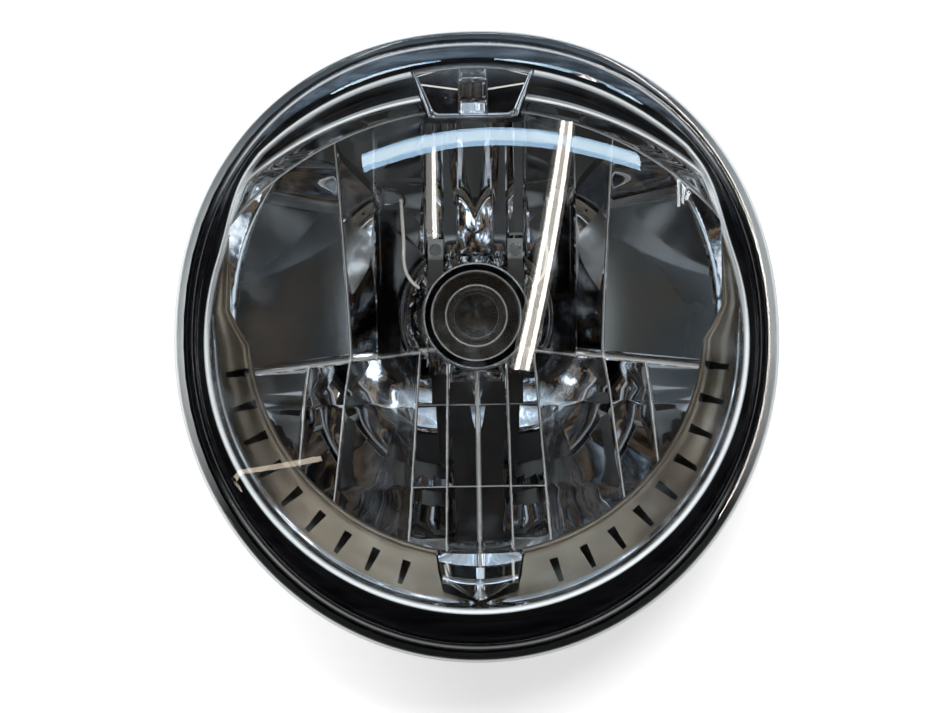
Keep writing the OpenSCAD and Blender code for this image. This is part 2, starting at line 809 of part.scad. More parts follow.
module shield_rivets() {
    color("silver")
        placed()
            mirrored_x() {
                rod(foot_x, foot_z, rivet_r, foot_y - 1, foot_y + rivet_len);
                rod(foot_x, foot_z, rivet_r + 0.8, foot_y - 1.8, foot_y - 1);
            }
}

// Bulb

glass_back = seat_y - 12;
glass_t = 1;

module bulb_glass() {
    r = glass_r;
    t = glass_t;
    color("white", 0.4)
        placed()
            turned(bulb_z)
                polygon([[0, -1], [2.5, -0.4], [5.6, 2.2], [7.6, 6], [r, 11], [r, glass_back], [r - t, glass_back],
                    [r - t, 11.4], [6.7, 6.8], [5, 3.2], [2.2, 0.9], [0, 0.4]]);
}

module bulb_filaments() {
    color("orange")
        placed() {
            rod(0, bulb_z + 1.6, 0.7, 22, 27.5);
            rod(0, bulb_z, 0.7, 30, 35.5);
            translate([0, 35, bulb_z - 1])
                rotate([-90, 0, 0])
                    cylinder(r = 0.4, h = glass_back - 35);
            rod(2.2, bulb_z + 1.6, 0.4, 24, glass_back);
            translate([0, 24, bulb_z + 1.6])
                rotate([0, 90, 0])
                    cylinder(r = 0.35, h = 2.2);
        }
}

module bulb_inner_shield() {
    color("gray")
        placed()
            difference() {
                rod(0, bulb_z, 5, 18, glass_back);
                rod(0, bulb_z, 4.5, 17, glass_back + 1);
                translate([-6, 16, bulb_z + 0.8])
                    cube([12, 40, 8]);
            }
}

module bulb_base() {
    color("#b8b4aa")
        placed()
            difference() {
                turned(bulb_z)
                    polygon([[0, glass_back], [13, glass_back], [13, seat_y - 3], [socket_r - 0.3, seat_y - 3],
                        [socket_r - 0.3, seat_y], [seat_r, seat_y], [seat_r, seat_y + seat_t],
                        [base_r - 1.5, seat_y + seat_t], [base_r - 1.5, seat_y + 8], [base_r, seat_y + 8], [base_r, base_end_y],
                        [0, base_end_y]]);
                at_blades()
                    cube([blade_w, 12, blade_t], center = true);
            }
}

base_r = 15.5;
base_end_y = seat_y + 21;
blade_w = 8;
blade_t = 0.8;

// Three blades: one across the top and one upright on each side
module at_blades() {
    translate([0, base_end_y - 1, bulb_z + 8])
        children();
    mirrored_x()
        translate([9.5, base_end_y - 1, bulb_z - 2])
            rotate([0, 90, 0])
                children();
}

module bulb_terminals() {
    color("silver")
        placed()
            at_blades()
                translate([-blade_w / 2, -6, -blade_t / 2])
                    cube([blade_w, 18, blade_t]);
}

clip_ring_r = 17.6;

module bulb_clip() {
    w = wire_d / 2;
    reach = clip_ring_r + w;
    color("silver")
        placed()
            union() {
                turned(bulb_z)
                    translate([clip_ring_r, clip_y])
                        circle(r = w, $fn = 24);
                turned(bulb_z + clip_r)
                    translate([2.6, clip_y])
                        circle(r = w, $fn = 24);
                translate([0, clip_y, bulb_z + clip_ring_r])
                    cylinder(r = w, h = clip_r - clip_ring_r - 2.6, $fn = 24);
                translate([0, clip_y, bulb_z - clip_r + 0.1])
                    cylinder(r = w, h = clip_r - clip_ring_r, $fn = 24);
            }
}

module clip_screw() {
    color("silver")
        placed()
            difference() {
                union() {
                    rod(0, bulb_z + clip_r, clip_screw_r, seat_y - 5, clip_y + wire_d / 2 + 1);
                    rod(0, bulb_z + clip_r, 3.6, clip_y + wire_d / 2, clip_y + wire_d / 2 + 1.8);
                }
                translate([-0.5, clip_y + wire_d / 2 + 0.9, bulb_z + clip_r - 2.4])
                    cube([1, 2, 4.8]);
            }
}

module bulb_boot() {
    r = neck_r + running_gap;
    hub = base_r + running_gap;
    end = rear_y + neck_len;
    color("#202022")
        placed()
            turned(bulb_z)
                polygon([[r, end - 9], [r + 2.6, end - 9], [r + 2.6, end + 1.4], [r - 1, end + 3.2], [r - 7, end + 4],
                    [hub + 8.4, end + 7.6], [hub + 3.8, end + 9.6], [hub + 2.4, end + 12], [hub, end + 12], [hub, end + 6],
                    [hub + 5.4, end + 5], [r - 10, end + 1.2], [r - 2.4, end], [r, end]]);
}

module breather_elbows() {
    color("#262628")
        placed()
            mirrored_x()
                difference() {
                    union() {
                        rod(breather_x, bulb_z, nipple_r + 1.9, rear_y + 1.5, rear_y + 16);
                        translate([breather_x, rear_y + 14, bulb_z])
                            rotate([180, 0, 0])
                                cylinder(r = nipple_r + 1.4, h = 14);
                        translate([breather_x, rear_y + 14.6, bulb_z])
                            sphere(r = nipple_r + 1.9);
                    }
                    rod(breather_x, bulb_z, nipple_r + running_gap, rear_y + 1, rear_y + 12);
                    translate([breather_x, rear_y + 14, bulb_z])
                        rotate([180, 0, 0])
                            cylinder(r = nipple_r - 1.4, h = 15);
                    rod(breather_x, bulb_z, nipple_r - 1.4, rear_y + 11, rear_y + 15);
                }
}

lens();
lens_sealant();
housing();
mount_inserts();
bezel();
reflector();
reflector_screws();
position_lamp_frame();
position_lamp_pane();
position_lamp_box();
position_bulb();
position_bulb_holder();
bulb_shield();
shield_bracket();
shield_rivets();
bulb_glass();
bulb_filaments();
bulb_inner_shield();
bulb_base();
bulb_terminals();
bulb_clip();
clip_screw();
bulb_boot();
breather_elbows();
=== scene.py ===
"""Round motorcycle headlight unit: its looks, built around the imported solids."""

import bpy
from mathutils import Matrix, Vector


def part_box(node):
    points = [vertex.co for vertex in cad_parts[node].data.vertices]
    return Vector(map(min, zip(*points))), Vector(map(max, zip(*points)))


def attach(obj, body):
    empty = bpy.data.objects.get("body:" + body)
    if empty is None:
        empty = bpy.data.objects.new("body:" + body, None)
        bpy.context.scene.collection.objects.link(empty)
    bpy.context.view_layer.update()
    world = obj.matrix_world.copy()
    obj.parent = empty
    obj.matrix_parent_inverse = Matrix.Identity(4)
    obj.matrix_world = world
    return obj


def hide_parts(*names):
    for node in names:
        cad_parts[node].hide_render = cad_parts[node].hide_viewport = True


bl_info = {
    "name": "Round Headlight Unit",
    "version": (1, 0, 0),
    "blender": (4, 5, 0),
    "location": "View3D > Sidebar > Headlight",
    "description": "Builds the lens, bezel, reflector, bulb and back of a round headlight unit",
    "category": "Object",
}

import math

import bmesh
import bpy
import numpy as np
from bpy.props import FloatProperty, FloatVectorProperty, IntProperty, PointerProperty
from mathutils import Matrix, Vector

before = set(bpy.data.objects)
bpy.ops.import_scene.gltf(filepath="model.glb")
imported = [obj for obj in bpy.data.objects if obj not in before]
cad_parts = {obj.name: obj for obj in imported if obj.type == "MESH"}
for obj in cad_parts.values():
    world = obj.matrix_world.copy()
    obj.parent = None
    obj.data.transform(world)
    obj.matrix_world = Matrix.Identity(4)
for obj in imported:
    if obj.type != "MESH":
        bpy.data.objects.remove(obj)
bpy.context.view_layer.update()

# Depths, in millimetres from the rear face of the lens flange
BOSS_FACE = 40.0
MIRROR_VERTEX = 52.0
FOCAL_LENGTH = 27.0

# Arcs round the lens axis, each as its radius and the height of its centre in millimetres
CROWN_ARC = (95.6, -12.2)
LIP_ARC = (108.5, -33.8)
LOWER_EDGE_ARC = (68.5, 5.0)
UPPER_EDGE_ARC = (96.5, -26.0)
WINDOW_ARC = (96.2, -12.2)

# Straight sides of the opening, the crease outside the bead, and what keeps the bead off skirt and lip
SIDE_EDGE = 74.3
CREASE_OUT = 2.0
BEAD_GAP = 1.4

# Points round a ring
AROUND = 360


# Sizes and colours that a user would change

def length(name, default, description):
    return FloatProperty(name=name, description=description, default=default, unit="LENGTH")


def colour(name, default, description):
    return FloatVectorProperty(name=name, description=description, default=default, subtype="COLOR")


class HeadlightSizes(bpy.types.PropertyGroup):
    half_width: length("Half Width", 0.0921, "Half of the width over the lens flange")
    reach_up: length("Reach Up", 0.0952, "Reach of the outline above the lens axis")
    reach_down: length("Reach Down", 0.0976, "Reach of the outline below the lens axis")
    dome_rise: length("Dome Rise", 0.019, "Height of the lens dome above its crease")
    crease_height: length("Crease Height", 0.015, "Distance from the flange's rear face to the crease")
    lens_wall: length("Lens Wall", 0.0026, "Thickness of the lens wall")
    flange_thickness: length("Flange Thickness", 0.003, "Thickness of the lens flange")
    flange_width: length("Flange Width", 0.0047, "Width of the flange outside the skirt")
    bead_radius: length("Bead Radius", 0.082, "Radius of the chrome bead")
    bezel_wall: length("Bezel Wall", 0.0013, "Thickness of the bezel wall")
    bulb_height: length("Bulb Height", 0.008, "Height of the bulb above the lens axis")
    reflector_wall: length("Reflector Wall", 0.0022, "Thickness of the reflector wall")
    shield_radius: length("Shield Radius", 0.0162, "Outer radius of the bulb shield")
    slot_count: IntProperty(
        name="Slots", description="Slots on each side of the bezel", default=9, min=1, max=9)


class HeadlightFinishes(bpy.types.PropertyGroup):
    chrome: colour("Chrome", (0.86, 0.87, 0.89), "Colour of the chromed trim")
    satin: colour("Satin", (0.42, 0.335, 0.25), "Colour of the satin ring")
    mirror: colour("Mirror", (0.88, 0.89, 0.91), "Colour of the aluminised reflector")
    trim_black: colour("Trim Black", (0.006, 0.006, 0.007), "Colour of the black outer wall")
    housing: colour("Housing", (0.22, 0.22, 0.205), "Colour of the housing moulding")
    rubber: colour("Rubber", (0.018, 0.018, 0.02), "Colour of the boot and the breathers")
    steel: colour("Steel", (0.62, 0.62, 0.6), "Colour of the plated steel")
    brass: colour("Brass", (0.72, 0.55, 0.26), "Colour of the inserts")


def sizes():
    return bpy.context.scene.headlight_sizes


def finishes():
    return bpy.context.scene.headlight_finishes


def mm(size):
    """A size from the panel in millimetres."""
    return getattr(sizes(), size) * 1000


# Shape rules, in millimetres and with angles round the lens axis, as in the part's source

def smoothstep(a, b, t):
    k = np.clip((t - a) / (b - a), 0, 1)
    return k * k * (3 - 2 * k)


def mix(a, b, k):
    return a + (b - a) * k


def outline_radius(t):
    """Radius of the flange: slightly squared above the axis and an oval below it."""
    up = np.sin(t) >= 0
    power = np.where(up, 2.15, 2.0)
    height = np.where(up, mm("reach_up"), mm("reach_down"))
    total = (np.abs(np.cos(t)) / mm("half_width")) ** power + (np.abs(np.sin(t)) / height) ** power
    return total ** (-1 / power)


def arc_radius(t, radius, centre):
    return centre * np.sin(t) + np.sqrt(radius * radius - (centre * np.cos(t)) ** 2)


def folded(t):
    """Degrees above the horizontal on either side, and less than none below it."""
    d = np.degrees((t + math.pi) % (2 * math.pi) - math.pi)
    return np.where(d > 90, 180 - d, d)


def skirt_in():
    """Distance from the outline to the inside of the lens skirt."""
    return mm("flange_width") + mm("lens_wall")


def bead_radius(t):
    crown = np.minimum(arc_radius(t, *CROWN_ARC), outline_radius(t) - skirt_in() - BEAD_GAP)
    return mix(mm("bead_radius"), crown, smoothstep(18, 38, folded(t)))


def lip_radius(t):
    return np.minimum(arc_radius(t, *LIP_ARC), bead_radius(t) - BEAD_GAP)


def opening_radius(t):
    """Radius of the bezel's inner edge: an arc below, straight sides and a flatter arc above."""
    f = folded(t)
    side = SIDE_EDGE / np.maximum(0.2, np.cos(np.radians(f)))
    low = arc_radius(t, *LOWER_EDGE_ARC)
    high = np.minimum(side, arc_radius(t, *UPPER_EDGE_ARC))
    return np.where(f <= 0, low, mix(low, high, np.clip(f / 8, 0, 1)))


def dish_y(x, z):
    """Depth of the mirror's parabola, which grows flatter past a rise of 50."""
    rise = (x * x + (z - mm("bulb_height")) ** 2) / (4 * FOCAL_LENGTH)
    return MIRROR_VERTEX - np.minimum(rise, mix(50, rise, 0.4))


def bead_y():
    return 0.6 + mm("lens_wall") - mm("crease_height")


def brow(t):
    """How much of the bezel's profile is the brow's at an angle."""
    return smoothstep(24, 36, folded(t))


# Mesh helpers

def angles(n=AROUND):
    return np.arange(n) * 2 * math.pi / n - math.pi / 2


def ring(radius, depth, t):
    radius = np.broadcast_to(radius, t.shape)
    return np.stack([radius * np.cos(t), np.broadcast_to(depth, t.shape), radius * np.sin(t)], axis=1)


def rounded(rings, times, closed):
    """Cuts the corners of every section, which rounds it without making it larger."""
    rings = np.asarray(rings, float)
    for _ in range(times):
        ahead = np.roll(rings, -1, axis=0)
        near, far = mix(rings, ahead, 0.25), mix(rings, ahead, 0.75)
        both = np.stack([near, far], axis=1).reshape(-1, *rings.shape[1:])
        rings = both if closed else np.concatenate([rings[:1], both[:-2], rings[-1:]])
    return rings


def loft(rings, closed=False, first=None, last=None):
    """Joins rings of points, as a closed tube or as a skin with a point at each end."""
    count, n = rings.shape[:2]
    points = rings.reshape(-1, 3).tolist()
    i = np.arange(n)
    j = (i + 1) % n
    faces = []
    for k in range(count if closed else count - 1):
        a, b = k * n, ((k + 1) % count) * n
        faces += np.stack([a + i, a + j, b + j, b + i], axis=1).tolist()
    if first is not None:
        start, end, base = len(points), len(points) + 1, (count - 1) * n
        points += [first, last]
        faces += [[start, int(b), int(a)] for a, b in zip(i, j)]
        faces += [[end, int(base + a), int(base + b)] for a, b in zip(i, j)]
    return points, faces


def lathe(profile, z, x=0.0, n=32):
    """Turns a closed profile of radius and depth round a line along Y."""
    t = angles(n)
    points, faces = loft(np.asarray([ring(r, y, t) for r, y in profile], float), True)
    return [[p[0] + x, p[1], p[2] + z] for p in points], faces


def turned_cap(profile, z, n=96):
    """Turns a profile that starts and ends on the axis, with its corners rounded."""
    t = angles(n)
    rings = rounded([ring(r, y, t) for r, y in profile[1:-1]], 1, False)
    points, faces = loft(rings, False, [0, profile[0][1], 0], [0, profile[-1][1], 0])
    return [[p[0], p[1], p[2] + z] for p in points], faces


def grid_faces(rows, columns, flip=False):
    """Faces of a sheet whose points lie in rows."""
    faces = []
    for row in range(rows - 1):
        for a in range(row * columns, (row + 1) * columns - 1):
            corners = [a, a + 1, a + 1 + columns, a + columns]
            faces.append([a, *corners[:0:-1]] if flip else corners)
    return faces


def prism_faces(n):
    """Both ends and then the sides of a prism with n corners."""
    sides = [[i, i + n, (i + 1) % n + n, (i + 1) % n] for i in range(n)]
    return [list(range(n)), list(range(2 * n - 1, n - 1, -1))] + sides


def prism(outline, y0, y1):
    """Extends an outline of x and z between two depths."""
    return [[x, y, z] for y in (y0, y1) for x, z in outline], prism_faces(len(outline))


def both_sides(half):
    """Completes the right half of an outline with its mirror image."""
    return half + [(-x, z) for x, z in reversed(half)]


def wire_faces(count, sides):
    """Faces of a round wire of count rings, with flat ends."""
    faces = []
    for k in range(count - 1):
        for s in range(sides):
            a, b = k * sides + s, k * sides + (s + 1) % sides
            faces.append([a, b, b + sides, a + sides])
    ends = [list(range(sides)), list(range(count * sides - 1, (count - 1) * sides - 1, -1))]
    return faces + ends


def wire_ring(centre, side, over, radius, sides):
    """Points of a wire's round section, which is spanned by two directions."""
    turns = [2 * math.pi * s / sides for s in range(sides)]
    return [(centre + radius * (math.cos(b) * side + math.sin(b) * over)).tolist() for b in turns]


def wire_path(path, radius, sides=10):
    """A round wire through points, square to its path at each of them."""
    path = [np.asarray(p, float) for p in path]
    points = []
    for k, p in enumerate(path):
        ahead = path[min(k + 1, len(path) - 1)] - path[max(k - 1, 0)]
        ahead /= np.linalg.norm(ahead)
        side = np.cross(ahead, [1.0, 0.0, 0.0])
        if np.linalg.norm(side) < 0.2:
            side = np.cross(ahead, [0.0, 0.0, 1.0])
        side /= np.linalg.norm(side)
        points += wire_ring(p, side, np.cross(side, ahead), radius, sides)
    return points, wire_faces(len(path), sides)


def coil(x, y0, y1, z, radius, turns, wire_r, sides=6):
    """A coiled filament between two depths."""
    steps = turns * 14
    points = []
    for k in range(steps + 1):
        a = 2 * math.pi * turns * k / steps
        out = np.array([math.cos(a), 0, math.sin(a)])
        centre = np.array([x, mix(y0, y1, k / steps), z]) + radius * out
        points += wire_ring(centre, out, np.array([0, 1, 0]), wire_r, sides)
    return points, wire_faces(steps + 1, sides)


def smooth_path(points, times):
    """Rounds the corners of a flat path and keeps its ends."""
    p = np.asarray(points, float)
    for _ in range(times):
        near, far = mix(p[:-1], p[1:], 0.25), mix(p[:-1], p[1:], 0.75)
        p = np.concatenate([p[:1], np.stack([near, far], axis=1).reshape(-1, 2)[1:-1], p[-1:]])
    return p.tolist()


def joined(*parts):
    points, faces = [], []
    for part_points, part_faces in parts:
        base = len(points)
        points += [list(p) for p in part_points]
        faces += [[base + i for i in f] for f in part_faces]
    return points, faces


def piece(name, shape, angle=30.0):
    """Makes a mesh object from points in millimetres, with its faces outwards and its creases sharp."""
    points, faces = shape
    mesh = bpy.data.meshes.new(name)
    where = (np.asarray(points, float) - [0, BOSS_FACE, 0]) / 1000
    mesh.from_pydata(where.tolist(), [], [list(map(int, f)) for f in faces])
    mesh.validate()
    obj = bpy.data.objects.new(name, mesh)
    bpy.context.scene.collection.objects.link(obj)
    edit = bmesh.new()
    edit.from_mesh(mesh)
    bmesh.ops.remove_doubles(edit, verts=edit.verts, dist=1e-6)
    bmesh.ops.dissolve_degenerate(edit, edges=edit.edges, dist=1e-7)
    bmesh.ops.recalc_face_normals(edit, faces=edit.faces)
    edit.to_mesh(mesh)
    edit.free()
    mesh.shade_smooth()
    mesh.set_sharp_from_angle(angle=math.radians(angle))
    return obj


def plain(obj):
    """Turns the modifiers into a plain mesh and takes them off."""
    graph = bpy.context.evaluated_depsgraph_get()
    done = bpy.data.meshes.new_from_object(obj.evaluated_get(graph))
    obj.modifiers.clear()
    old = obj.data
    done.name = obj.name
    obj.data = done
    bpy.data.meshes.remove(old)
    return obj


def keep_clear(obj, outline, y0=-20, y1=24):
    """Cuts an outline through a piece."""
    cutter = piece("outline_cutter", prism(outline, y0, y1))
    modifier = obj.modifiers.new("Clear", "BOOLEAN")
    modifier.object = cutter
    modifier.operation = "DIFFERENCE"
    modifier.solver = "EXACT"
    plain(obj)
    bpy.data.objects.remove(cutter)


def give_wall(obj, thickness):
    """Gives a sheet a wall on the side away from the lens."""
    wall = obj.modifiers.new("Wall", "SOLIDIFY")
    wall.thickness = thickness
    towards = sum(f.normal.y * f.area for f in obj.data.polygons)
    wall.offset = 1.0 if towards > 0 else -1.0
    plain(obj)


def spots(mesh):
    """The x, depth and height of a piece's points in millimetres."""
    co = np.zeros(len(mesh.vertices) * 3)
    mesh.vertices.foreach_get("co", co)
    return (co.reshape(-1, 3) * 1000 + [0, BOSS_FACE, 0]).T


def mark_mesh(mesh, name, *masks):
    """Stores up to three masks as the red, green and blue of a colour attribute."""
    values = np.zeros((len(mesh.vertices), 4), np.float32)
    values[:, 3] = 1
    for k, mask in enumerate(masks):
        values[:, k] = mask
    layer = mesh.color_attributes.new(name, "FLOAT_COLOR", "POINT")
    layer.data.foreach_set("color", values.ravel())


def dress(obj, material):
    obj.data.materials.clear()
    obj.data.materials.append(material)


def fit(obj, material, node):
    """Gives a finished piece its material and its place in the frame."""
    dress(obj, material)
    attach(obj, "root")
    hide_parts(node)


# Node helpers

def wire(tree, start, end):
    tree.links.new(start, end)


def fill(tree, node, inputs):
    """Gives a node's inputs their values, or wires them to other nodes' outputs."""
    for key, value in inputs.items():
        if isinstance(value, bpy.types.NodeSocket):
            wire(tree, value, node.inputs[key])
        else:
            node.inputs[key].default_value = value


def add(tree, kind, inputs=None, **settings):
    """Adds a node with its settings and inputs."""
    node = tree.nodes.new(kind)
    for name, value in settings.items():
        setattr(node, name, value)
    fill(tree, node, inputs or {})
    return node


def find(tree, kind):
    return next(n for n in tree.nodes if n.type == kind)


def opaque(shade):
    return (*shade, 1)


def place(tree):
    return add(tree, "ShaderNodeTexCoord").outputs["Object"]


def noise(tree, where, scale, detail=2.0, roughness=0.5):
    inputs = {"Vector": where, "Scale": scale, "Detail": detail, "Roughness": roughness}
    return add(tree, "ShaderNodeTexNoise", inputs).outputs["Fac"]


def stretched(tree, where, scale):
    return add(tree, "ShaderNodeMapping", {"Vector": where, "Scale": scale}).outputs["Vector"]


def remap(tree, value, low=0.0, high=1.0, start=0.0, end=1.0, **settings):
    """Maps a value from one range to another."""
    inputs = {"Value": value, "From Min": low, "From Max": high, "To Min": start, "To Max": end}
    return add(tree, "ShaderNodeMapRange", inputs, **settings).outputs["Result"]


def sums(tree, operation, *values):
    return add(tree, "ShaderNodeMath", dict(enumerate(values)), operation=operation).outputs[0]


def vectors(tree, operation, *values):
    return add(tree, "ShaderNodeVectorMath", dict(enumerate(values)), operation=operation).outputs["Vector"]


def scaled(tree, vector, amount):
    node = add(tree, "ShaderNodeVectorMath", {0: vector, "Scale": amount}, operation="SCALE")
    return node.outputs["Vector"]


def axes(tree, vector):
    return add(tree, "ShaderNodeSeparateXYZ", {"Vector": vector}).outputs


def laid_over(tree, below, mask, above, kind="RGBA"):
    """Lays a colour or a number over another by a mask."""
    node = add(tree, "ShaderNodeMix", {"Factor": mask, "A": below, "B": above}, data_type=kind)
    return node.outputs["Result"]


def mixed(tree, mask, below, above):
    """Lays one shader over another by a mask."""
    return add(tree, "ShaderNodeMixShader", {0: mask, 1: below, 2: above}).outputs[0]


def marks(tree, name):
    """The red, green and blue masks of a piece's attribute."""
    attribute = add(tree, "ShaderNodeAttribute", attribute_name=name)
    split = add(tree, "ShaderNodeSeparateColor", {"Color": attribute.outputs["Color"]})
    return [split.outputs[label] for label in ("Red", "Green", "Blue")]


def rays(tree, *kinds):
    """One for the rays of these kinds, and none for all others."""
    path = add(tree, "ShaderNodeLightPath")
    value = path.outputs[f"Is {kinds[0]} Ray"]
    for kind in kinds[1:]:
        value = sums(tree, "MAXIMUM", value, path.outputs[f"Is {kind} Ray"])
    return value


def ramp(tree, value, stops):
    """Colours along a value, from pairs of a place and a colour."""
    node = add(tree, "ShaderNodeValToRGB", {"Fac": value})
    elements = node.color_ramp.elements
    elements[0].position, elements[1].position = stops[0][0], stops[-1][0]
    for where, _ in stops[1:-1]:
        elements.new(where)
    for element, (_, shade) in zip(elements, stops):
        element.color = opaque(shade)
    return node.outputs["Color"]


def level_curve(tree, value, levels):
    """A curve of straight parts through pairs of a place and a level."""
    node = add(tree, "ShaderNodeFloatCurve", {"Value": value})
    points = node.mapping.curves[0].points
    points[0].location, points[1].location = levels[0], levels[-1]
    for level in levels[1:-1]:
        points.new(*level)
    for point in points:
        point.handle_type = "VECTOR"
    node.mapping.update()
    return node.outputs[0]


def new_group(name, kind, inputs, outputs):
    """A node group with named inputs, each of a kind and with a value or none, and named outputs."""
    tree = bpy.data.node_groups.new(name, kind)
    for label, (socket_kind, value) in inputs.items():
        socket = tree.interface.new_socket(label, in_out="INPUT", socket_type=f"NodeSocket{socket_kind}")
        if value is not None:
            socket.default_value = value
    for label, socket_kind in outputs.items():
        tree.interface.new_socket(label, in_out="OUTPUT", socket_type=f"NodeSocket{socket_kind}")
    return tree, tree.nodes.new("NodeGroupInput").outputs, tree.nodes.new("NodeGroupOutput")


# Materials

DUST_COLOUR = (0.5, 0.48, 0.45, 1)
# Painted highlight: the white laid on the bezel's bead, lip and opening edges
PAINTED_HIGHLIGHT = (0.93, 0.94, 0.95, 1)
# Painted shade for the mirror's recesses, and a painted warm highlight for its ribs and the lamp's dividers
PAINTED_RECESS_SHADE = (0.02, 0.02, 0.022, 1)
PAINTED_WARM_HIGHLIGHT = (0.90, 0.83, 0.74, 1)


def handling_group():
    """Smudges, fine grain and dust: a roughness value, a dust mask and a bump height."""
    if "Handling" in bpy.data.node_groups:
        return bpy.data.node_groups["Handling"]
    values = {"Smooth": 0.03, "Smudged": 0.12, "Smudge Scale": 40.0, "Dust": 0.3, "Grain Scale": 900.0}
    tree, start, end = new_group(
        "Handling", "ShaderNodeTree", {label: ("Float", value) for label, value in values.items()},
        {label: "Float" for label in ("Roughness", "Dust Mask", "Height")})
    where = place(tree)
    smudges = noise(tree, where, start["Smudge Scale"], 5)
    specks = add(tree, "ShaderNodeTexVoronoi", {"Vector": where, "Scale": 300}).outputs["Distance"]
    patches = remap(tree, noise(tree, where, 60), 0.56, 0.66)
    dust = sums(tree, "MULTIPLY", remap(tree, specks, 0.10, 0.03), patches)
    fill(tree, end, {
        "Roughness": remap(tree, smudges, 0.52, 0.78, start["Smooth"], start["Smudged"]),
        "Dust Mask": sums(tree, "MULTIPLY", dust, start["Dust"]),
        "Height": noise(tree, where, start["Grain Scale"], 3)})
    return tree


def handling(tree, **values):
    """Places the group of handling marks with its own values, such as smudge_scale for Smudge Scale."""
    inputs = {label.replace("_", " ").title(): value for label, value in values.items()}
    return add(tree, "ShaderNodeGroup", inputs, node_tree=handling_group()).outputs


def new_material(name):
    material = bpy.data.materials.new(name)
    material.use_nodes = True
    return material, material.node_tree, find(material.node_tree, "BSDF_PRINCIPLED")


def bare_material(name):
    material, tree, _ = new_material(name)
    tree.nodes.clear()
    return material, tree


def painted(material):
    """A finished material's tree, its shader and what feeds its colour."""
    shader = find(material.node_tree, "BSDF_PRINCIPLED")
    return material.node_tree, shader, shader.inputs["Base Color"].links[0].from_socket


def finish_material(name, shade, metallic=0.0, smooth=0.3, smudged=0.45, bump=0.0, grain=900.0,
                    smudge_scale=40.0, dust=0.2, change=0.0):
    """A solid finish with handling marks, dust, a fine grain and a slow change of shade."""
    material, tree, shader = new_material(name)
    group = handling(
        tree, smooth=smooth, smudged=smudged, smudge_scale=smudge_scale, dust=dust, grain_scale=grain)
    darker = opaque([c * (1 - change) for c in shade])
    lighter = opaque([min(1, c * (1 + change)) for c in shade])
    colouring = laid_over(tree, darker, noise(tree, place(tree), 25, 4), lighter)
    fill(tree, shader, {
        "Base Color": laid_over(tree, colouring, group["Dust Mask"], DUST_COLOUR),
        "Roughness": group["Roughness"],
        "Metallic": metallic})
    if bump:
        inputs = {"Strength": bump, "Distance": 0.0002, "Height": group["Height"]}
        wire(tree, add(tree, "ShaderNodeBump", inputs).outputs["Normal"], shader.inputs["Normal"])
    return material


def glass_material(name, shade, ior, smudged=0.03):
    """Clear glass or plastic that lets the lamps' light through without a shadow."""
    material, tree, shader = new_material(name)
    group = handling(tree, smooth=0.0, smudged=smudged, smudge_scale=30)
    fill(tree, shader, {
        "Base Color": opaque(shade), "Transmission Weight": 1.0, "Metallic": 0.0, "IOR": ior,
        "Roughness": group["Roughness"]})
    clear = add(tree, "ShaderNodeBsdfTransparent", {"Color": opaque([c * 0.94 for c in shade])})
    glass = mixed(tree, rays(tree, "Shadow", "Diffuse"), shader.outputs[0], clear.outputs[0])
    wire(tree, glass, find(tree, "OUTPUT_MATERIAL").inputs["Surface"])
    return material


def bezel_material():
    """Chrome on the bead and the brows, satin on the lower ring, black outside the bead, painted shade in the
    brows' troughs and a painted white highlight along the bead, the lip and the opening's edge.
    """
    f = finishes()
    material, tree, shader = new_material("Bezel Plating")
    satin, black, edge = marks(tree, "zone")
    group = handling(tree, smooth=0.025, smudged=0.09)
    cloud = remap(tree, noise(tree, place(tree), 24), 0.36, 0.66, 0.5, 1.35)
    shade = laid_over(tree, opaque(f.chrome), satin, scaled(tree, f.satin, cloud))
    shade = laid_over(tree, shade, black, opaque(f.trim_black))
    rough = laid_over(tree, group["Roughness"], satin, 0.3, "FLOAT")
    # The edges marked in blue get a painted white highlight and are made less metallic, so that they catch
    # the lamps
    fill(tree, shader, {
        "Base Color": laid_over(tree, shade, edge, PAINTED_HIGHLIGHT),
        "Metallic": sums(tree, "MULTIPLY_ADD", edge, -0.95, sums(tree, "SUBTRACT", 1.0, black)),
        "Roughness": laid_over(tree, rough, black, 0.55, "FLOAT")})
    return material


def paint_shade_and_highlight(material, name):
    """Paints shade over what an attribute marks in red, and a warm highlight over what it marks in green,
    which is made less metallic so that it catches the lamps.
    """
    tree, shader, shade = painted(material)
    red, green, _ = marks(tree, name)
    shade = laid_over(tree, shade, red, PAINTED_RECESS_SHADE)
    fill(tree, shader, {
        "Base Color": laid_over(tree, shade, green, PAINTED_WARM_HIGHLIGHT),
        "Metallic": remap(tree, green, start=1.0, end=0.1)})


# Lens

# How far the shoulder has come out and back, at shares of its way from the crease to the flange
SHOULDER_SHARES = [0.0, 0.18, 0.36, 0.54, 0.7, 0.85, 1.0]
SHOULDER_OUT = [0.0, 0.32, 0.6, 0.82, 0.94, 0.99, 1.0]
SHOULDER_BACK = [0.0, 0.05, 0.12, 0.24, 0.45, 0.72, 1.0]


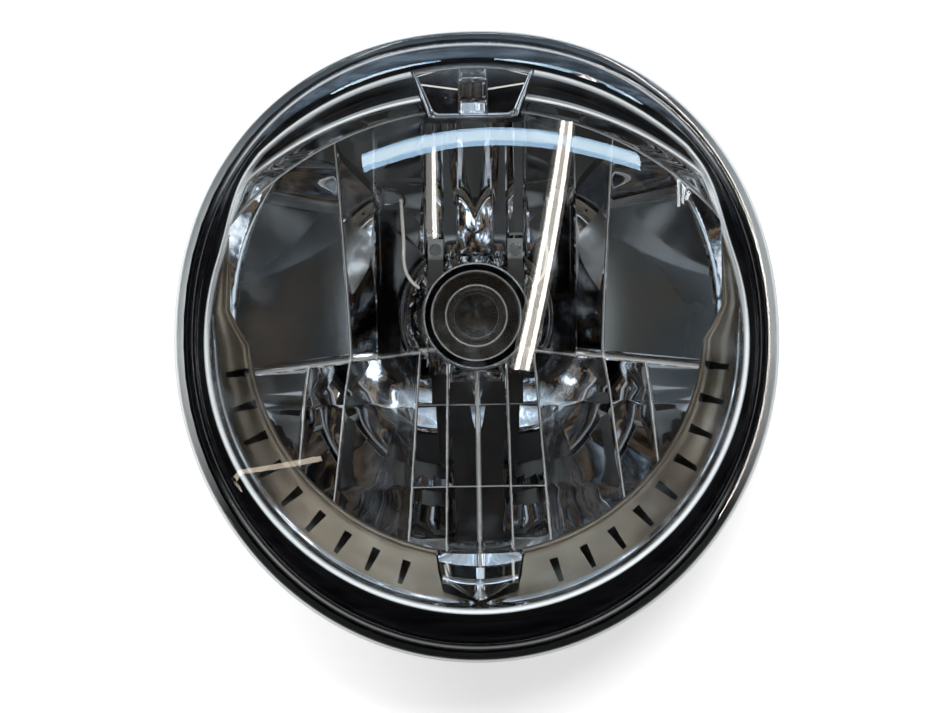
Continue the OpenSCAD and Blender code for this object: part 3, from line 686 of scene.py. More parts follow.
def lens_shape():
    """Dome, steep shoulder, flange and tongue as one closed shell."""
    wall, flange, thick = mm("lens_wall"), mm("flange_width"), mm("flange_thickness")
    rise = mm("dome_rise")
    apex = -(mm("crease_height") + rise)
    sphere = ((mm("bead_radius") + CREASE_OUT) ** 2 + rise ** 2) / (2 * rise)
    t = angles()
    out = outline_radius(t)
    crease = bead_radius(t) + CREASE_OUT

    def dome_y(radius):
        return apex + sphere - np.sqrt(sphere ** 2 - radius ** 2)

    def dome(k, inset, back):
        return ring(k * (crease - inset), dome_y(crease * k) + back, t)

    def shoulder(k, inset, back):
        share = np.interp(k, SHOULDER_SHARES, SHOULDER_OUT)
        fall = np.interp(k, SHOULDER_SHARES, SHOULDER_BACK)
        side = mix(crease, out - flange - 0.5, share) - inset * mix(0.5, 1, k)
        return ring(side, mix(dome_y(crease), -thick - 1.2, fall) + back * (1 - k), t)

    steps = np.linspace(0, 1, 37)[1:]
    bends = SHOULDER_SHARES[1:]
    flange_profile = [
        (-flange, -thick - 0.4), (0.7 - flange, -thick), (-2.4, -thick), (-1.0, 0.3 - thick),
        (-0.2, 1.0 - thick), (0, 1.8 - thick), (0, -0.4), (0, 0), (-0.4, 0)]
    tongue_profile = [(-3.4, 0), (-3.4, 3), (-6, 3), (-6, 0), (-skirt_in(), 0), (-skirt_in(), -thick)]
    outside = [dome(k, 0, 0) for k in steps]
    inside = [dome(k, 0.9, wall) for k in steps[-2::-1]]
    edge = [outside[-1]] + [shoulder(k, 0, 0) for k in bends]
    edge += [ring(out + step, y, t) for step, y in flange_profile + tongue_profile]
    edge += [shoulder(k, wall - 0.5, wall) for k in bends[::-1]] + [dome(1, 0.9, wall)]
    rings = np.concatenate([outside[:-1], rounded(edge, 2, False), inside])
    return loft(rings, False, [0, apex, 0], [0, apex + wall, 0])


def mark_edges(mesh):
    """Marks the painted highlight on the rim and the corner in red, the painted dark reflection on the
    shoulder in green and its height in blue.
    """
    x, y, z = spots(mesh)
    t, r = np.arctan2(z, x), np.hypot(x, z)
    out, thick = outline_radius(t), mm("flange_thickness")
    from_skirt = r - out + mm("flange_width")
    front = y < -0.3 * thick
    rim = smoothstep(-1.1, -0.5, r - out) * front
    corner = np.clip(1 - np.abs(from_skirt - 0.1) / 0.6, 0, 1) * smoothstep(0.4, 0.75, np.abs(np.sin(t)))
    corner *= front * (y > -thick - 2.0)
    shoulder = smoothstep(0.5, 1.2, r - bead_radius(t) - CREASE_OUT) * (1 - smoothstep(-0.3, 0.5, from_skirt))
    # Painted highlight on the flange's rim, and on the corner above and below
    painted_edge_highlight = np.maximum(0.9 * rim, 0.55 * corner)
    mark_mesh(mesh, "edge", painted_edge_highlight, 0.8 * shoulder, smoothstep(0.35, 0.95, np.sin(t)))


def paint_edge_reflections(material):
    """Lays a painted reflection over the shoulder, near black below and streaked slate blue towards the top,
    and a painted white highlight over the flange's rim and corner.
    """
    tree = material.node_tree
    end = find(tree, "OUTPUT_MATERIAL")
    surface = end.inputs["Surface"].links[0].from_socket
    rim, shoulder, height = marks(tree, "edge")
    # Painted reflection on the shoulder, lighter and bluer towards the top
    colouring = laid_over(tree, (0.004, 0.004, 0.005, 1), height, (0.07, 0.095, 0.125, 1))
    streaks = noise(tree, stretched(tree, place(tree), (0.1, 1, 1)), 330, 3)
    streaked = scaled(tree, colouring, remap(tree, streaks, 0.36, 0.64, 0.3, 1.3))
    for mask, shade in ((shoulder, streaked), (rim, (0.80, 0.83, 0.86, 1))):
        painted_reflection = add(tree, "ShaderNodeBsdfDiffuse", {"Color": shade})
        surface = mixed(tree, mask, surface, painted_reflection.outputs[0])
    wire(tree, surface, end.inputs["Surface"])


class HEADLIGHT_OT_lens(bpy.types.Operator):
    """Builds the clear lens with its dome, skirt, flange and tongue"""
    bl_idname = "headlight.lens"
    bl_label = "Lens"

    def execute(self, context):
        obj = piece("lens_shell", lens_shape(), 45)
        clear = glass_material("Clear Lens Plastic", (0.97, 0.985, 0.99), 1.5, 0.02)
        mark_edges(obj.data)
        paint_edge_reflections(clear)
        fit(obj, clear, "lens")
        return {"FINISHED"}


# Bezel

# The slot cutter's outline at the right side, and the angles in degrees of the first slot and between slots
SLOT_OUTLINE = [(69.5, -1.35), (76.7, -0.75), (76.7, 0.75), (69.5, 1.35)]
SLOT_FIRST = 6.6
SLOT_PITCH = 8.1
BEZEL_CREASE = 40


def bezel_rings(t):
    """The bezel's section round the ring, which changes from the satin slope below to the brows above."""
    bead, opening, lip = bead_radius(t), opening_radius(t), lip_radius(t)
    skirt = outline_radius(t) - skirt_in() - 0.4
    w, by, b = mm("bezel_wall"), bead_y(), brow(t)
    edge = dish_y(opening * np.cos(t), opening * np.sin(t)) - 3
    lip_y, trough_y = by + 4, by + 7
    span = np.minimum(1, (bead - opening) / 14)
    trough, middle = mix(lip, bead - 1.2, 0.5), mix(opening, bead, 0.5)

    def pair(r_low, r_high, y_low, y_high):
        return ring(mix(r_low, r_high, b), mix(y_low, y_high, b), t)

    return [
        ring(opening, edge, t),
        ring(opening + 1.2 * span, edge - 1.6, t),
        pair(opening + 2.4 * span, mix(opening, lip, 0.5), edge - 1.2, mix(edge - 1.6, lip_y, 0.45)),
        pair(mix(opening, bead, 0.4), lip - 0.8, mix(edge - 1.2, lip_y, 0.4), lip_y),
        pair(mix(opening, bead, 0.6), lip, mix(edge - 1.2, lip_y, 0.62), lip_y),
        pair(bead - 3.6 * span, trough, lip_y + 0.2, trough_y),
        pair(bead - 2.6 * span, trough + 0.8, lip_y - 0.6, trough_y),
        ring(bead - 1.2 * span, by + 0.8, t),
        ring(bead - 0.4, by, t),
        ring(bead + 0.2, by, t),
        ring(bead + 0.6, by + 1.2, t),
        ring(skirt, -1.5, t),
        ring(skirt, 0, t),
        ring(skirt - w, 0, t),
        ring(bead + 0.1, by + 2.6, t),
        pair(bead - 3.2 * span + 0.7 * w, trough, lip_y + 0.8 * w, trough_y + w),
        pair(middle + 0.7 * w, lip + 0.3, mix(edge - 1.2, lip_y, 0.5) + 0.8 * w, lip_y + 2 * w),
        ring(opening + 0.9 * w, edge - 0.3, t),
    ]


def slots_tree():
    """Repeats the slot cutter down both sides of the ring and cuts the ring with it."""
    tree, start, end = new_group("Slots", "GeometryNodeTree", {
        "Geometry": ("Geometry", None),
        "Count": ("Int", sizes().slot_count),
        "First Angle": ("Float", math.radians(SLOT_FIRST)),
        "Pitch": ("Float", math.radians(SLOT_PITCH)),
        "Cutter": ("Object", None),
        "Material": ("Material", None)}, {"Geometry": "Geometry"})
    line = add(tree, "GeometryNodeMeshLine", {"Count": start["Count"], "Offset": (0, 0, 0)})
    cutter = add(tree, "GeometryNodeObjectInfo", {"Object": start["Cutter"]})
    order = add(tree, "GeometryNodeInputIndex")
    turn = sums(tree, "MULTIPLY_ADD", order.outputs[0], start["Pitch"], start["First Angle"])
    spin = add(tree, "ShaderNodeCombineXYZ", {"Y": turn})
    copies = add(tree, "GeometryNodeInstanceOnPoints", {
        "Points": line.outputs["Mesh"],
        "Instance": cutter.outputs["Geometry"],
        "Rotation": spin.outputs["Vector"]})
    right = add(tree, "GeometryNodeRealizeInstances", {"Geometry": copies.outputs["Instances"]})
    mirror = add(tree, "GeometryNodeTransform", {"Geometry": right.outputs["Geometry"], "Scale": (-1, 1, 1)})
    left = add(tree, "GeometryNodeFlipFaces", {"Mesh": mirror.outputs["Geometry"]})
    cut = add(tree, "GeometryNodeMeshBoolean", operation="DIFFERENCE", solver="EXACT")
    fill(tree, cut, {"Mesh 1": start["Geometry"], "Mesh 2": right.outputs["Geometry"]})
    wire(tree, left.outputs["Mesh"], cut.inputs["Mesh 2"])
    flat = add(tree, "GeometryNodeRealizeInstances", {"Geometry": cut.outputs["Mesh"]})
    dressed = add(tree, "GeometryNodeSetMaterial", {
        "Geometry": flat.outputs["Geometry"], "Material": start["Material"]})
    wire(tree, dressed.outputs["Geometry"], end.inputs["Geometry"])
    return tree


def set_input(modifier, label, value):
    for item in modifier.node_group.interface.items_tree:
        if item.item_type == "SOCKET" and item.in_out == "INPUT" and item.name == label:
            modifier[item.identifier] = value
            return
    raise ValueError(f"no input named {label}")


def mark_zones(mesh):
    """Marks the satin ring in red, the black outer wall and the painted shade in the brows' troughs in green,
    and the painted highlight along the edges in blue.
    """
    x, _, z = spots(mesh)
    t, r = np.arctan2(z, x), np.hypot(x, z)
    bead, lip, opening = bead_radius(t), lip_radius(t), opening_radius(t)
    satin = 1 - smoothstep(24, 30, folded(t))
    satin *= 1 - smoothstep(-4.2, -3.4, (r - bead) / np.minimum(1, (bead - opening) / 14))
    # Painted shade: the brows' troughs are marked with the black of the outer wall
    trough = smoothstep(30, 36, folded(t)) * smoothstep(0.5, 1.1, r - lip) * smoothstep(0.9, 1.5, bead - r)
    black = np.maximum(smoothstep(0.0, 0.25, r - bead), trough)
    up = smoothstep(26, 34, folded(t))
    # Painted highlight along the bead, the lip and the opening's edge
    bright = np.clip(1.3 - np.abs(r - bead + 0.6) / 0.8, 0, 1)
    bright = np.maximum(bright, up * np.clip(1.2 - np.abs(r - lip) / 0.6, 0, 1))
    bright = np.maximum(bright, up * np.clip(1.2 - (r - opening) / 0.8, 0, 1)) * (1 - black)
    mark_mesh(mesh, "zone", satin * (1 - bright), black, bright)


class HEADLIGHT_OT_bezel(bpy.types.Operator):
    """Builds the chrome bezel with its bead, brows and slotted satin ring"""
    bl_idname = "headlight.bezel"
    bl_label = "Bezel"

    def execute(self, context):
        obj = piece("bezel_ring", loft(rounded(bezel_rings(angles()), 2, True), True), BEZEL_CREASE)
        cutter = piece("slot_cutter", prism(SLOT_OUTLINE, -10, 14))
        material = bezel_material()
        modifier = obj.modifiers.new("Slots", "NODES")
        modifier.node_group = slots_tree()
        set_input(modifier, "Cutter", cutter)
        set_input(modifier, "Material", material)
        plain(obj)
        bpy.data.objects.remove(cutter)
        keep_clear(obj, lamp_outline(-0.4))
        keep_clear(obj, chin_outline(0.4))
        mark_zones(obj.data)
        obj.data.set_sharp_from_angle(angle=math.radians(BEZEL_CREASE))
        fit(obj, material, "bezel")
        return {"FINISHED"}


# Position lamp

WINDOW_TOP = sum(WINDOW_ARC) - 1.2
WINDOW_FOOT = 67.6
WINDOW_LOW_HALF = 14.4
WINDOW_HIGH_HALF = 18.6
FRAME_BAR = 1.6

# The middle bar: its foot and head, its half width, and how far its front lies back at heights
BAR_FOOT = 68.4
BAR_HEAD = WINDOW_TOP - 0.6
BAR_HALF = 4.3
BAR_HEIGHTS = [BAR_FOOT, 69.0, 72.4, 73.2, 78.6, 79.2, WINDOW_TOP]
BAR_BACK = [0.6, 0.0, 2.0, 2.2, 0.6, 0.6, 2.7]

# Outlines of the right dividers, and how far each lies behind the frame's front
DIVIDERS = [([(4.5, 76.0), (15.6, 77.6), (15.6, 78.1), (4.5, 76.5)], 1.4),
            ([(4.5, 83.4), (16.6, 80.2), (16.6, 80.5), (4.5, 83.8)], 1.0)]


def lamp_outline(inset):
    """The window's outline: a narrow foot, leaning sides and an arc on top."""
    low, high = WINDOW_LOW_HALF - inset, WINDOW_HIGH_HALF - inset
    foot = WINDOW_FOOT + inset
    radius, centre = WINDOW_ARC
    arc = [(x, centre - inset + math.sqrt(radius ** 2 - x * x)) for x in np.linspace(high, 0.0, 9)]
    right = [(low - 2.6, foot), (low - 1.0, foot + 0.5), (low - 0.4, foot + 2)] + arc
    return right + [(-x, z) for x, z in reversed(right)][1:]


def band(outer, inner, y0, y1, lift):
    """A closed frame between two outlines, whose front is crowned by lift."""
    a, b = np.asarray(outer), np.asarray(inner)
    side, near = y0 + lift, y0 + 0.3 * lift
    section = [(0, y1), (0, side), (0.2, near), (0.5, y0), (0.8, near), (1, side), (1, y1)]
    rings = []
    for share, y in section:
        line = mix(a, b, share)
        rings.append(np.stack([line[:, 0], np.full(len(line), y), line[:, 1]], axis=1))
    return loft(np.asarray(rings), True)


def bar_front(front):
    """The crowned front of the middle bar, whose facets lean by their height."""
    heights, shares = np.linspace(BAR_FOOT, BAR_HEAD, 25), np.linspace(-1, 1, 13)
    points = []
    for z in heights:
        back = np.interp(z, BAR_HEIGHTS, BAR_BACK)
        for k in shares:
            edge = 0.0 if abs(k) < 0.86 else -0.6
            points.append([BAR_HALF * k, front + 0.5 * (1 - k * k) + edge + back, z])
    return points, grid_faces(len(heights), len(shares))


class HEADLIGHT_OT_lamp_window(bpy.types.Operator):
    """Builds the chrome frame, middle bar and dividers of the position lamp"""
    bl_idname = "headlight.lamp_window"
    bl_label = "Position Lamp"

    def execute(self, context):
        front = bead_y() + 1
        back = front + 4
        parts = [band(lamp_outline(0), lamp_outline(FRAME_BAR), front, back, 0.7), bar_front(front)]
        for x in (-BAR_HALF, BAR_HALF):
            side = [(x - 0.25, BAR_FOOT), (x + 0.25, BAR_FOOT), (x + 0.25, BAR_HEAD), (x - 0.25, BAR_HEAD)]
            parts.append(prism(side, front + 0.2, back))
        for sign in (-1, 1):
            for outline, behind in DIVIDERS:
                parts.append(prism([(sign * x, z) for x, z in outline][::sign], front + behind, back))
        obj = piece("lamp_frame", joined(*parts), 35)
        metal = finish_material("Lamp Frame Chrome", finishes().chrome, 1.0, 0.03, 0.1)
        x, y, _ = spots(obj.data)
        # The dividers' fronts are marked for a painted warm highlight
        thin = (np.abs(x) > BAR_HALF + 0.1) * (y > front + 0.9) * (y < front + 1.5)
        mark_mesh(obj.data, "thin", 0, 0.9 * thin)
        paint_shade_and_highlight(metal, "thin")
        fit(obj, metal, "position_lamp_frame")
        return {"FINISHED"}


# Reflector

# Facet edges, each as its place beside the crease and at the span, then the tilt, offset and bulge past it
LOWER = [(0.0, 0.0, 0.7, 0.0, 0.06), (9.0, 10.0, 0.7, -0.6, 0.06), (17.5, 21.6, 1.0, 0.0, 0.25),
         (39.0, 45.3, 1.0, 0.0, 0.15), (51.4, 56.3, 0.8, 0.0, 0.1), (80.0, 80.0, 0, 0, 0)]
UPPER = [(0.0, 0.0, 1.0, 0.0, 0.1), (5.3, 5.3, 1.0, 0.0, 0.1), (10.0, 10.0, 1.0, 0.0, 0.12),
         (15.4, 15.4, 0.0, 1.0, 0.0), (30.6, 30.6, 0.5, 0.0, 0.0), (38.7, 42.2, 0.8, 0.0, 0.2),
         (80.0, 80.0, 0, 0, 0)]
SPAN = 60.0
ROW_STEPS = (-19.2, -44.2)
LOWER_LEVELS = [0, -1, -3, -6, -9, -12, -15, -18.4, -18.95, -19.2, -19.45, -20, -24, -28, -32, -36, -40,
                -43.3, -43.95, -44.2, -44.45, -45, -48, -51, -54, -57, -60, -63, -66, -70, -76]
POCKET_DEPTH = 3
FLAT_NEAR_CREASE = 15
RIB_HALF = 0.45
RIB_HEIGHT = 0.75
MIRROR_CREASE = 24

# The opening round the bulb, and the opening under the lamp window
SOCKET_RADIUS = 16.8
NOTCH_HALF = 15.5
NOTCH_FOOT = 67.0

# Depths of the chin's steps at heights, and its half widths below the mirror
CHIN_STEPS = [(-60.5, 6.6), (-62.6, 3.6), (-64.2, -1.0), (-66.2, -2.2), (-67.8, -3.2), (-68.3, -4.6),
              (-71.6, -5.6), (-72.4, -6.8), (-73.2, -8.6), (-74.0, -8.9), (-77.4, -10.0)]
CHIN_DOWN = [59, 64, 70, 73, 75, 76.4, 77.4]
CHIN_HALF = [11.5, 13, 12.2, 11.4, 10.0, 7.6, 4.6]
DIAMOND = [(0, -73.4), (0.8, -74.6), (2.3, -76.9), (1.6, -77.5), (0, -77.9), (-1.6, -77.5), (-2.3, -76.9),
           (-0.8, -74.6)]

# Mounts on the mirror's back, and the curved rib beside the bulb
COLLAR = [(19.3, 49.4), (22.9, 50.2), (22.9, 54), (19.3, 54)]
POST_CIRCLE = 48
FOOT_X = 12.3
CLIP_DROP = 28.5
CLIP_POST = [(1.5, 49.2), (1.5, 55.2), (3, 55.2), (3, 44.5)]
CLIP_SEAT = [(44, -2), (59, -2), (59, 1.8), (56.8, 1.8), (56.8, 0), (44, 0)]
CURVED_RIB = [(22.6, 44), (22.4, 38), (22.0, 31), (22.3, 26), (21.6, 22), (19.8, 18.8), (16.4, 16.2)]


def crease_z(x):
    return -0.4 - 0.126 * np.abs(x)


def pocket(x, z):
    """How much of the pocket beside the bulb there is at a place."""
    around_bulb = np.hypot(x, z - mm("bulb_height"))
    side = np.clip((30.2 - np.abs(x)) / 1.2, 0, 1)
    return (1 - smoothstep(40, 50, z)) * smoothstep(18, 25, around_bulb) * side


def facet_depth(x, z, share, table, k, upper):
    """Depth of a facet at a share of its width: dish, tilt and bulge, with pockets above and rows below."""
    _, _, tilt, offset, bulge = table[k]
    hollow = bulge * (4 * (share - 0.5) ** 2 - 1)
    if upper:
        slope = 1.2 if k < 3 else 2.4
        fold = smoothstep(35, 51, z - 0.12 * np.abs(x)) * (k == 5)
        pit = POCKET_DEPTH * offset * pocket(x, z)
        return dish_y(x, z) + slope * tilt * (share - 0.5) - hollow + pit - fold
    first, second = ROW_STEPS
    drop = (1.1 * (z < first) + 1.1 * (z < second)) * (k < 2)
    row = np.interp(z, [-64, second, second + 0.01, first, first + 0.01, -2], [0, 1, 0, 1, 0, 1])
    pillow = 0.35 * (1 - (2 * row - 1) ** 2) * (k < 2)
    drop = (drop - pillow) * smoothstep(-66, -56, z)
    return dish_y(x, z) + 2.4 * tilt * (share - 0.5) + offset * (k == 1) - drop - hollow * 0.6


def facet_sheet(table, upper):
    """One half of the mirror as a fine grid, with a narrow rib on every facet edge and on the row steps."""
    levels = np.concatenate([np.linspace(0, 15, 17), np.linspace(15.9, 78, 70)]) if upper else LOWER_LEVELS
    columns = []
    for k in range(len(table) - 1):
        steps = max(8, int((table[k + 1][0] - table[k][0]) / 0.9))
        columns += [(k, share, False) for share in np.linspace(0, 1, steps + 1)]
        if k < len(table) - 2:
            columns.append((k, 1.0, True))
    points = []
    for level in levels:
        edge = [mix(row[0], row[1], min(1, abs(level) / SPAN)) for row in table]
        for k, share, rib in columns:
            x = edge[k + 1] if rib else mix(edge[k] + RIB_HALF * (k > 0), edge[k + 1] - RIB_HALF, share)
            z = level + crease_z(x) * np.clip(1 - abs(level) / FLAT_NEAR_CREASE, 0, 1)
            y = float(facet_depth(x, z, share, table, k, upper))
            if rib:
                y = min(y, float(facet_depth(x, z, 0.0, table, k + 1, upper))) - RIB_HEIGHT
            if not upper and k < 2 and level == ROW_STEPS[1]:
                y -= 0.7
            if level == 0:
                y -= 0.35
            points.append([x, y, z])
    return points, grid_faces(len(levels), len(columns))


def trimmed(points, faces, margin=2.0):
    """Pulls the sheet's edge onto the outline behind the bezel and onto the rim of the bulb opening."""
    p = np.asarray(points, float)
    z0 = mm("bulb_height")
    r = np.hypot(p[:, 0], p[:, 2])
    h = np.maximum(np.hypot(p[:, 0], p[:, 2] - z0), 1e-6)
    limit = opening_radius(np.arctan2(p[:, 2], p[:, 0])) + margin
    outside, hole = r > limit, h < SOCKET_RADIUS
    notch = (np.abs(p[:, 0]) < NOTCH_HALF) & (p[:, 2] > NOTCH_FOOT)
    keep = [f for f in faces if not (outside[f].all() or hole[f].all() or notch[f].all())]
    q = p.copy()
    q[:, [0, 2]] *= np.where(outside, limit / np.maximum(r, 1e-6), 1)[:, None]
    q[hole, 0] = (p[:, 0] * SOCKET_RADIUS / h)[hole]
    q[hole, 2] = ((p[:, 2] - z0) * SOCKET_RADIUS / h + z0)[hole]
    q[notch, 2] = NOTCH_FOOT
    moved = outside | hole | notch
    q[moved, 1] += dish_y(q[moved, 0], q[moved, 2]) - dish_y(p[moved, 0], p[moved, 2])
    q[:, 1] -= 1.3 * (1 - smoothstep(19.0, 20.2, np.hypot(q[:, 0], q[:, 2] - z0)))
    return q, keep


def chin_outline(margin=0.0):
    half = 13 + margin
    return both_sides([(half - 1.5, -59 + margin), (half, -64), (half - 0.8, -70), (half - 2.2, -75 - margin),
                       (2, -78 - margin)])


def chin_shape():
    """The stepped chin: crossing bands that narrow downwards, with a rib down the middle."""
    shares = np.linspace(-1, 1, 41)
    points = []
    for z, y in CHIN_STEPS:
        half = np.interp(-z, CHIN_DOWN, CHIN_HALF)
        bow = 1.5 if z < -66 else 0.45
        for k in shares:
            rib = 0.9 * math.exp(-((k * half) / 0.7) ** 2)
            points.append([k * half, y + 1.2 * abs(k) ** 3 - rib, z + bow * k * k])
    return points, grid_faces(len(CHIN_STEPS), len(shares), True)


def chin_tip():
    """The small diamond at the foot of the chin's rib."""
    front, back, n = -12.6, -8.6, len(DIAMOND)
    points = [[x, y, z] for y in (front + 0.8, back) for x, z in DIAMOND] + [[0, front, -76.6]]
    _, rear, *sides = prism_faces(n)
    return points, [[i, (i + 1) % n, 2 * n] for i in range(n)] + sides + [rear]


def mounts():
    """The collar, posts, bracket seats, clip post and clip seat on the mirror's back."""
    z0 = mm("bulb_height")
    shapes = [lathe(COLLAR, z0, n=96)]
    for a in (30, 150, 270):
        turn = math.radians(a)
        post = [(1.7, 38), (1.7, 50.6), (4.5, 50.6), (4.5, 35.2 if a < 270 else 34.6), (1.7, 36)]
        shapes.append(lathe(post, z0 + POST_CIRCLE * math.sin(turn), POST_CIRCLE * math.cos(turn)))
    for x in (-FOOT_X, FOOT_X):
        shapes.append(prism([(x - 2.35, 25.4), (x + 2.35, 25.4), (x + 2.35, 32), (x - 2.35, 32)], 44, 49))
    shapes.append(lathe(CLIP_POST, z0 + CLIP_DROP))
    seat = [[x, y, z0 - CLIP_DROP + z] for x in (-3, 3) for y, z in CLIP_SEAT]
    shapes.append((seat, prism_faces(len(CLIP_SEAT))))
    return shapes


def curved_rib(sign):
    """The thin rib that bends down the side of a pocket."""
    path = []
    for x, z in smooth_path(CURVED_RIB, 3):
        path.append((sign * x, dish_y(x, z) + POCKET_DEPTH * pocket(x, z) - 0.2, z))
    return wire_path(path, 0.5)


def mark_recesses(mesh, curved):
    """Marks painted shade in the recess beside each pocket in red, and painted highlights on the ribs and the
    curved ribs' points in green.
    """
    x, y, z = spots(mesh)
    x = np.abs(x)
    inner = 23.6 + 0.8 * np.sin((z - 10) / 9)
    # Painted shade in the recess beside each pocket
    dark = smoothstep(0, 0.9, x - inner) * (1 - smoothstep(29.6, 30.3, x))
    dark *= (1 - smoothstep(40, 45, z)) * smoothstep(-4.2, -3.4, z)
    crease = crease_z(x)
    below = z < crease
    near = (z - crease) / np.where(below, 1 + crease / FLAT_NEAR_CREASE, 1 - crease / FLAT_NEAR_CREASE)
    level = np.where(np.abs(near) < FLAT_NEAR_CREASE, near, z)
    share = np.minimum(1, np.abs(level) / SPAN)
    # Painted highlights on the facet ribs, the row steps, the crease and the curved ribs
    rib = 0.4 * below * (x < 0.1)
    for table, half, edges in ((LOWER, below, (1, 2, 3, 4)), (UPPER, ~below, (5,))):
        for k in edges:
            on_edge = np.abs(x - mix(table[k][0], table[k][1], share)) < 0.15
            rib = np.maximum(rib, 0.75 * half * on_edge)
    for step, bright in zip(ROW_STEPS, (0.3, 0.6)):
        in_middle = x < mix(LOWER[2][0], LOWER[2][1], -step / SPAN) + 0.2
        rib = np.maximum(rib, bright * (np.abs(level - step) < 0.1) * in_middle)
    rib = np.maximum(rib, 0.55 * (np.abs(level) < 0.05))
    rib *= y < dish_y(x, z) + 0.6
    rib[-curved:] = 0.8
    mark_mesh(mesh, "recess", dark, rib)


class HEADLIGHT_OT_reflector(bpy.types.Operator):
    """Builds the faceted reflector with its ribs, chin, collar, posts and clip seat"""
    bl_idname = "headlight.reflector"
    bl_label = "Reflector"

    def execute(self, context):
        halves = []
        for table, upper in ((LOWER, False), (UPPER, True)):
            points, faces = facet_sheet(table, upper)
            halves.append(trimmed(points, faces))
            halves.append(trimmed([[-x, y, z] for x, y, z in points], [f[::-1] for f in faces]))
        sheet = piece("reflector_mirror", joined(*halves), MIRROR_CREASE)
        give_wall(sheet, sizes().reflector_wall)
        chin = piece("chin", chin_shape(), 25)
        give_wall(chin, 0.0018)
        ribs = [curved_rib(sign) for sign in (-1, 1)]
        extras = piece("reflector_extras", joined(*mounts(), chin_tip(), *ribs), 30)
        whole = bmesh.new()
        for source in (sheet, chin, extras):
            whole.from_mesh(source.data)
        whole.to_mesh(sheet.data)
        whole.free()
        for spare in (chin, extras):
            bpy.data.objects.remove(spare)
        sheet.data.set_sharp_from_angle(angle=math.radians(MIRROR_CREASE))
        mirror = finish_material(
            "Aluminised Mirror", finishes().mirror, 1.0, 0.01, 0.035, smudge_scale=60, dust=0.3)
        # Painted shade in the recesses and painted warm highlights on the ribs
        mark_recesses(sheet.data, sum(len(points) for points, _ in ribs))
        paint_shade_and_highlight(mirror, "recess")
        fit(sheet, mirror, "reflector")
        return {"FINISHED"}


# Bulb and its shield

SHIELD_FRONT = -9.0
SHIELD_FACE = [(0, 2.6), (3.2, 2.4), (6.4, 1.5), (8.6, 1.0), (9.2, 1.9), (9.5, 1.3), (12.6, 1.0), (13.2, 0.4),
               (13.6, 0), (15.2, 0)]
SHIELD_LEDGE = [(-7.4, -13.6), (7.4, -13.6), (9.2, -12.2), (9.6, -10.9), (-9.6, -10.9), (-9.2, -12.2)]

# Levels of the turned face at radii: a painted highlight above none, black below it
TURNED_LEVELS = [(0.0, 0.0), (6.5, 0.0), (6.7, 0.35), (6.9, 0.1), (8.9, 0.0), (9.1, 0.9), (9.4, 0.9),
                 (9.6, 0.0), (13.2, 0.0), (13.4, 0.8), (13.7, 0.8), (13.9, -1.0), (15.5, -1.0), (15.7, 1.0),
                 (16.5, 1.0)]

# Half sections of the glass, outside and inside, and the paths of the two filament leads
GLASS_SECTION = [(0, -1), (1.6, -0.8), (3.4, 0.2), (5.6, 2.2), (7.2, 5.2), (8.1, 8.2), (8.5, 12), (8.5, 26),
                 (8.5, 41.6), (8.3, 42), (7.5, 42), (7.5, 26), (7.5, 12.2), (7.2, 8.8), (6.3, 5.8),
                 (4.8, 3.2), (3, 1.3), (1.4, 0.4), (0, 0.2)]
LEADS = [[(0.5, 35.4, -0.2), (0.2, 36.2, -0.8), (0, 37.4, -1), (0, 42, -1)],
         [(0.5, 22.2, 1.6), (1.4, 22.8, 1.6), (2.1, 24, 1.6), (2.2, 26, 1.6), (2.2, 42, 1.6)]]


def paint_rings(material):
    """Black outside the cup's step, with painted highlights as bright rings on the turned edges round the
    bulb's axis.
    """
    tree, shader, shade = painted(material)
    flat = vectors(tree, "MULTIPLY_ADD", place(tree), (1, 0, 1), (0, 0, -sizes().bulb_height))
    radius = add(tree, "ShaderNodeVectorMath", {0: flat}, operation="LENGTH").outputs["Value"]
    last = TURNED_LEVELS[-1][0]
    share = remap(tree, radius, high=last / 1000)
    bright, black = (
        level_curve(tree, share, [(r / last, max(0.0, sign * level)) for r, level in TURNED_LEVELS])
        for sign in (1, -1))
    shade = laid_over(tree, shade, bright, (0.85, 0.84, 0.82, 1))
    fill(tree, shader, {
        "Base Color": laid_over(tree, shade, black, (0.012, 0.012, 0.013, 1)),
        "Metallic": remap(tree, bright, start=1.0, end=0.78)})


class HEADLIGHT_OT_shield(bpy.types.Operator):
    """Builds the turned cup in front of the bulb"""
    bl_idname = "headlight.shield"
    bl_label = "Bulb Shield"

    def execute(self, context):
        r, z0 = mm("shield_radius"), mm("bulb_height")
        wall = [(r - 0.3, 0.4), (r, 1.6), (r, 16), (r - 1, 16), (r - 1, 2.6), (9.6, 3.2), (0, 3.8)]
        cup = turned_cap([(x, SHIELD_FRONT + y) for x, y in SHIELD_FACE + wall], z0, 160)
        ledge = prism([(x, z0 + z) for x, z in SHIELD_LEDGE], SHIELD_FRONT + 0.2, SHIELD_FRONT + 2.2)
        obj = piece("shield_cup", joined(cup, ledge), 28)
        metal = finish_material("Dark Polished Sheet", (0.20, 0.18, 0.155), 1.0, 0.16, 0.24)
        paint_rings(metal)
        fit(obj, metal, "bulb_shield")
        return {"FINISHED"}


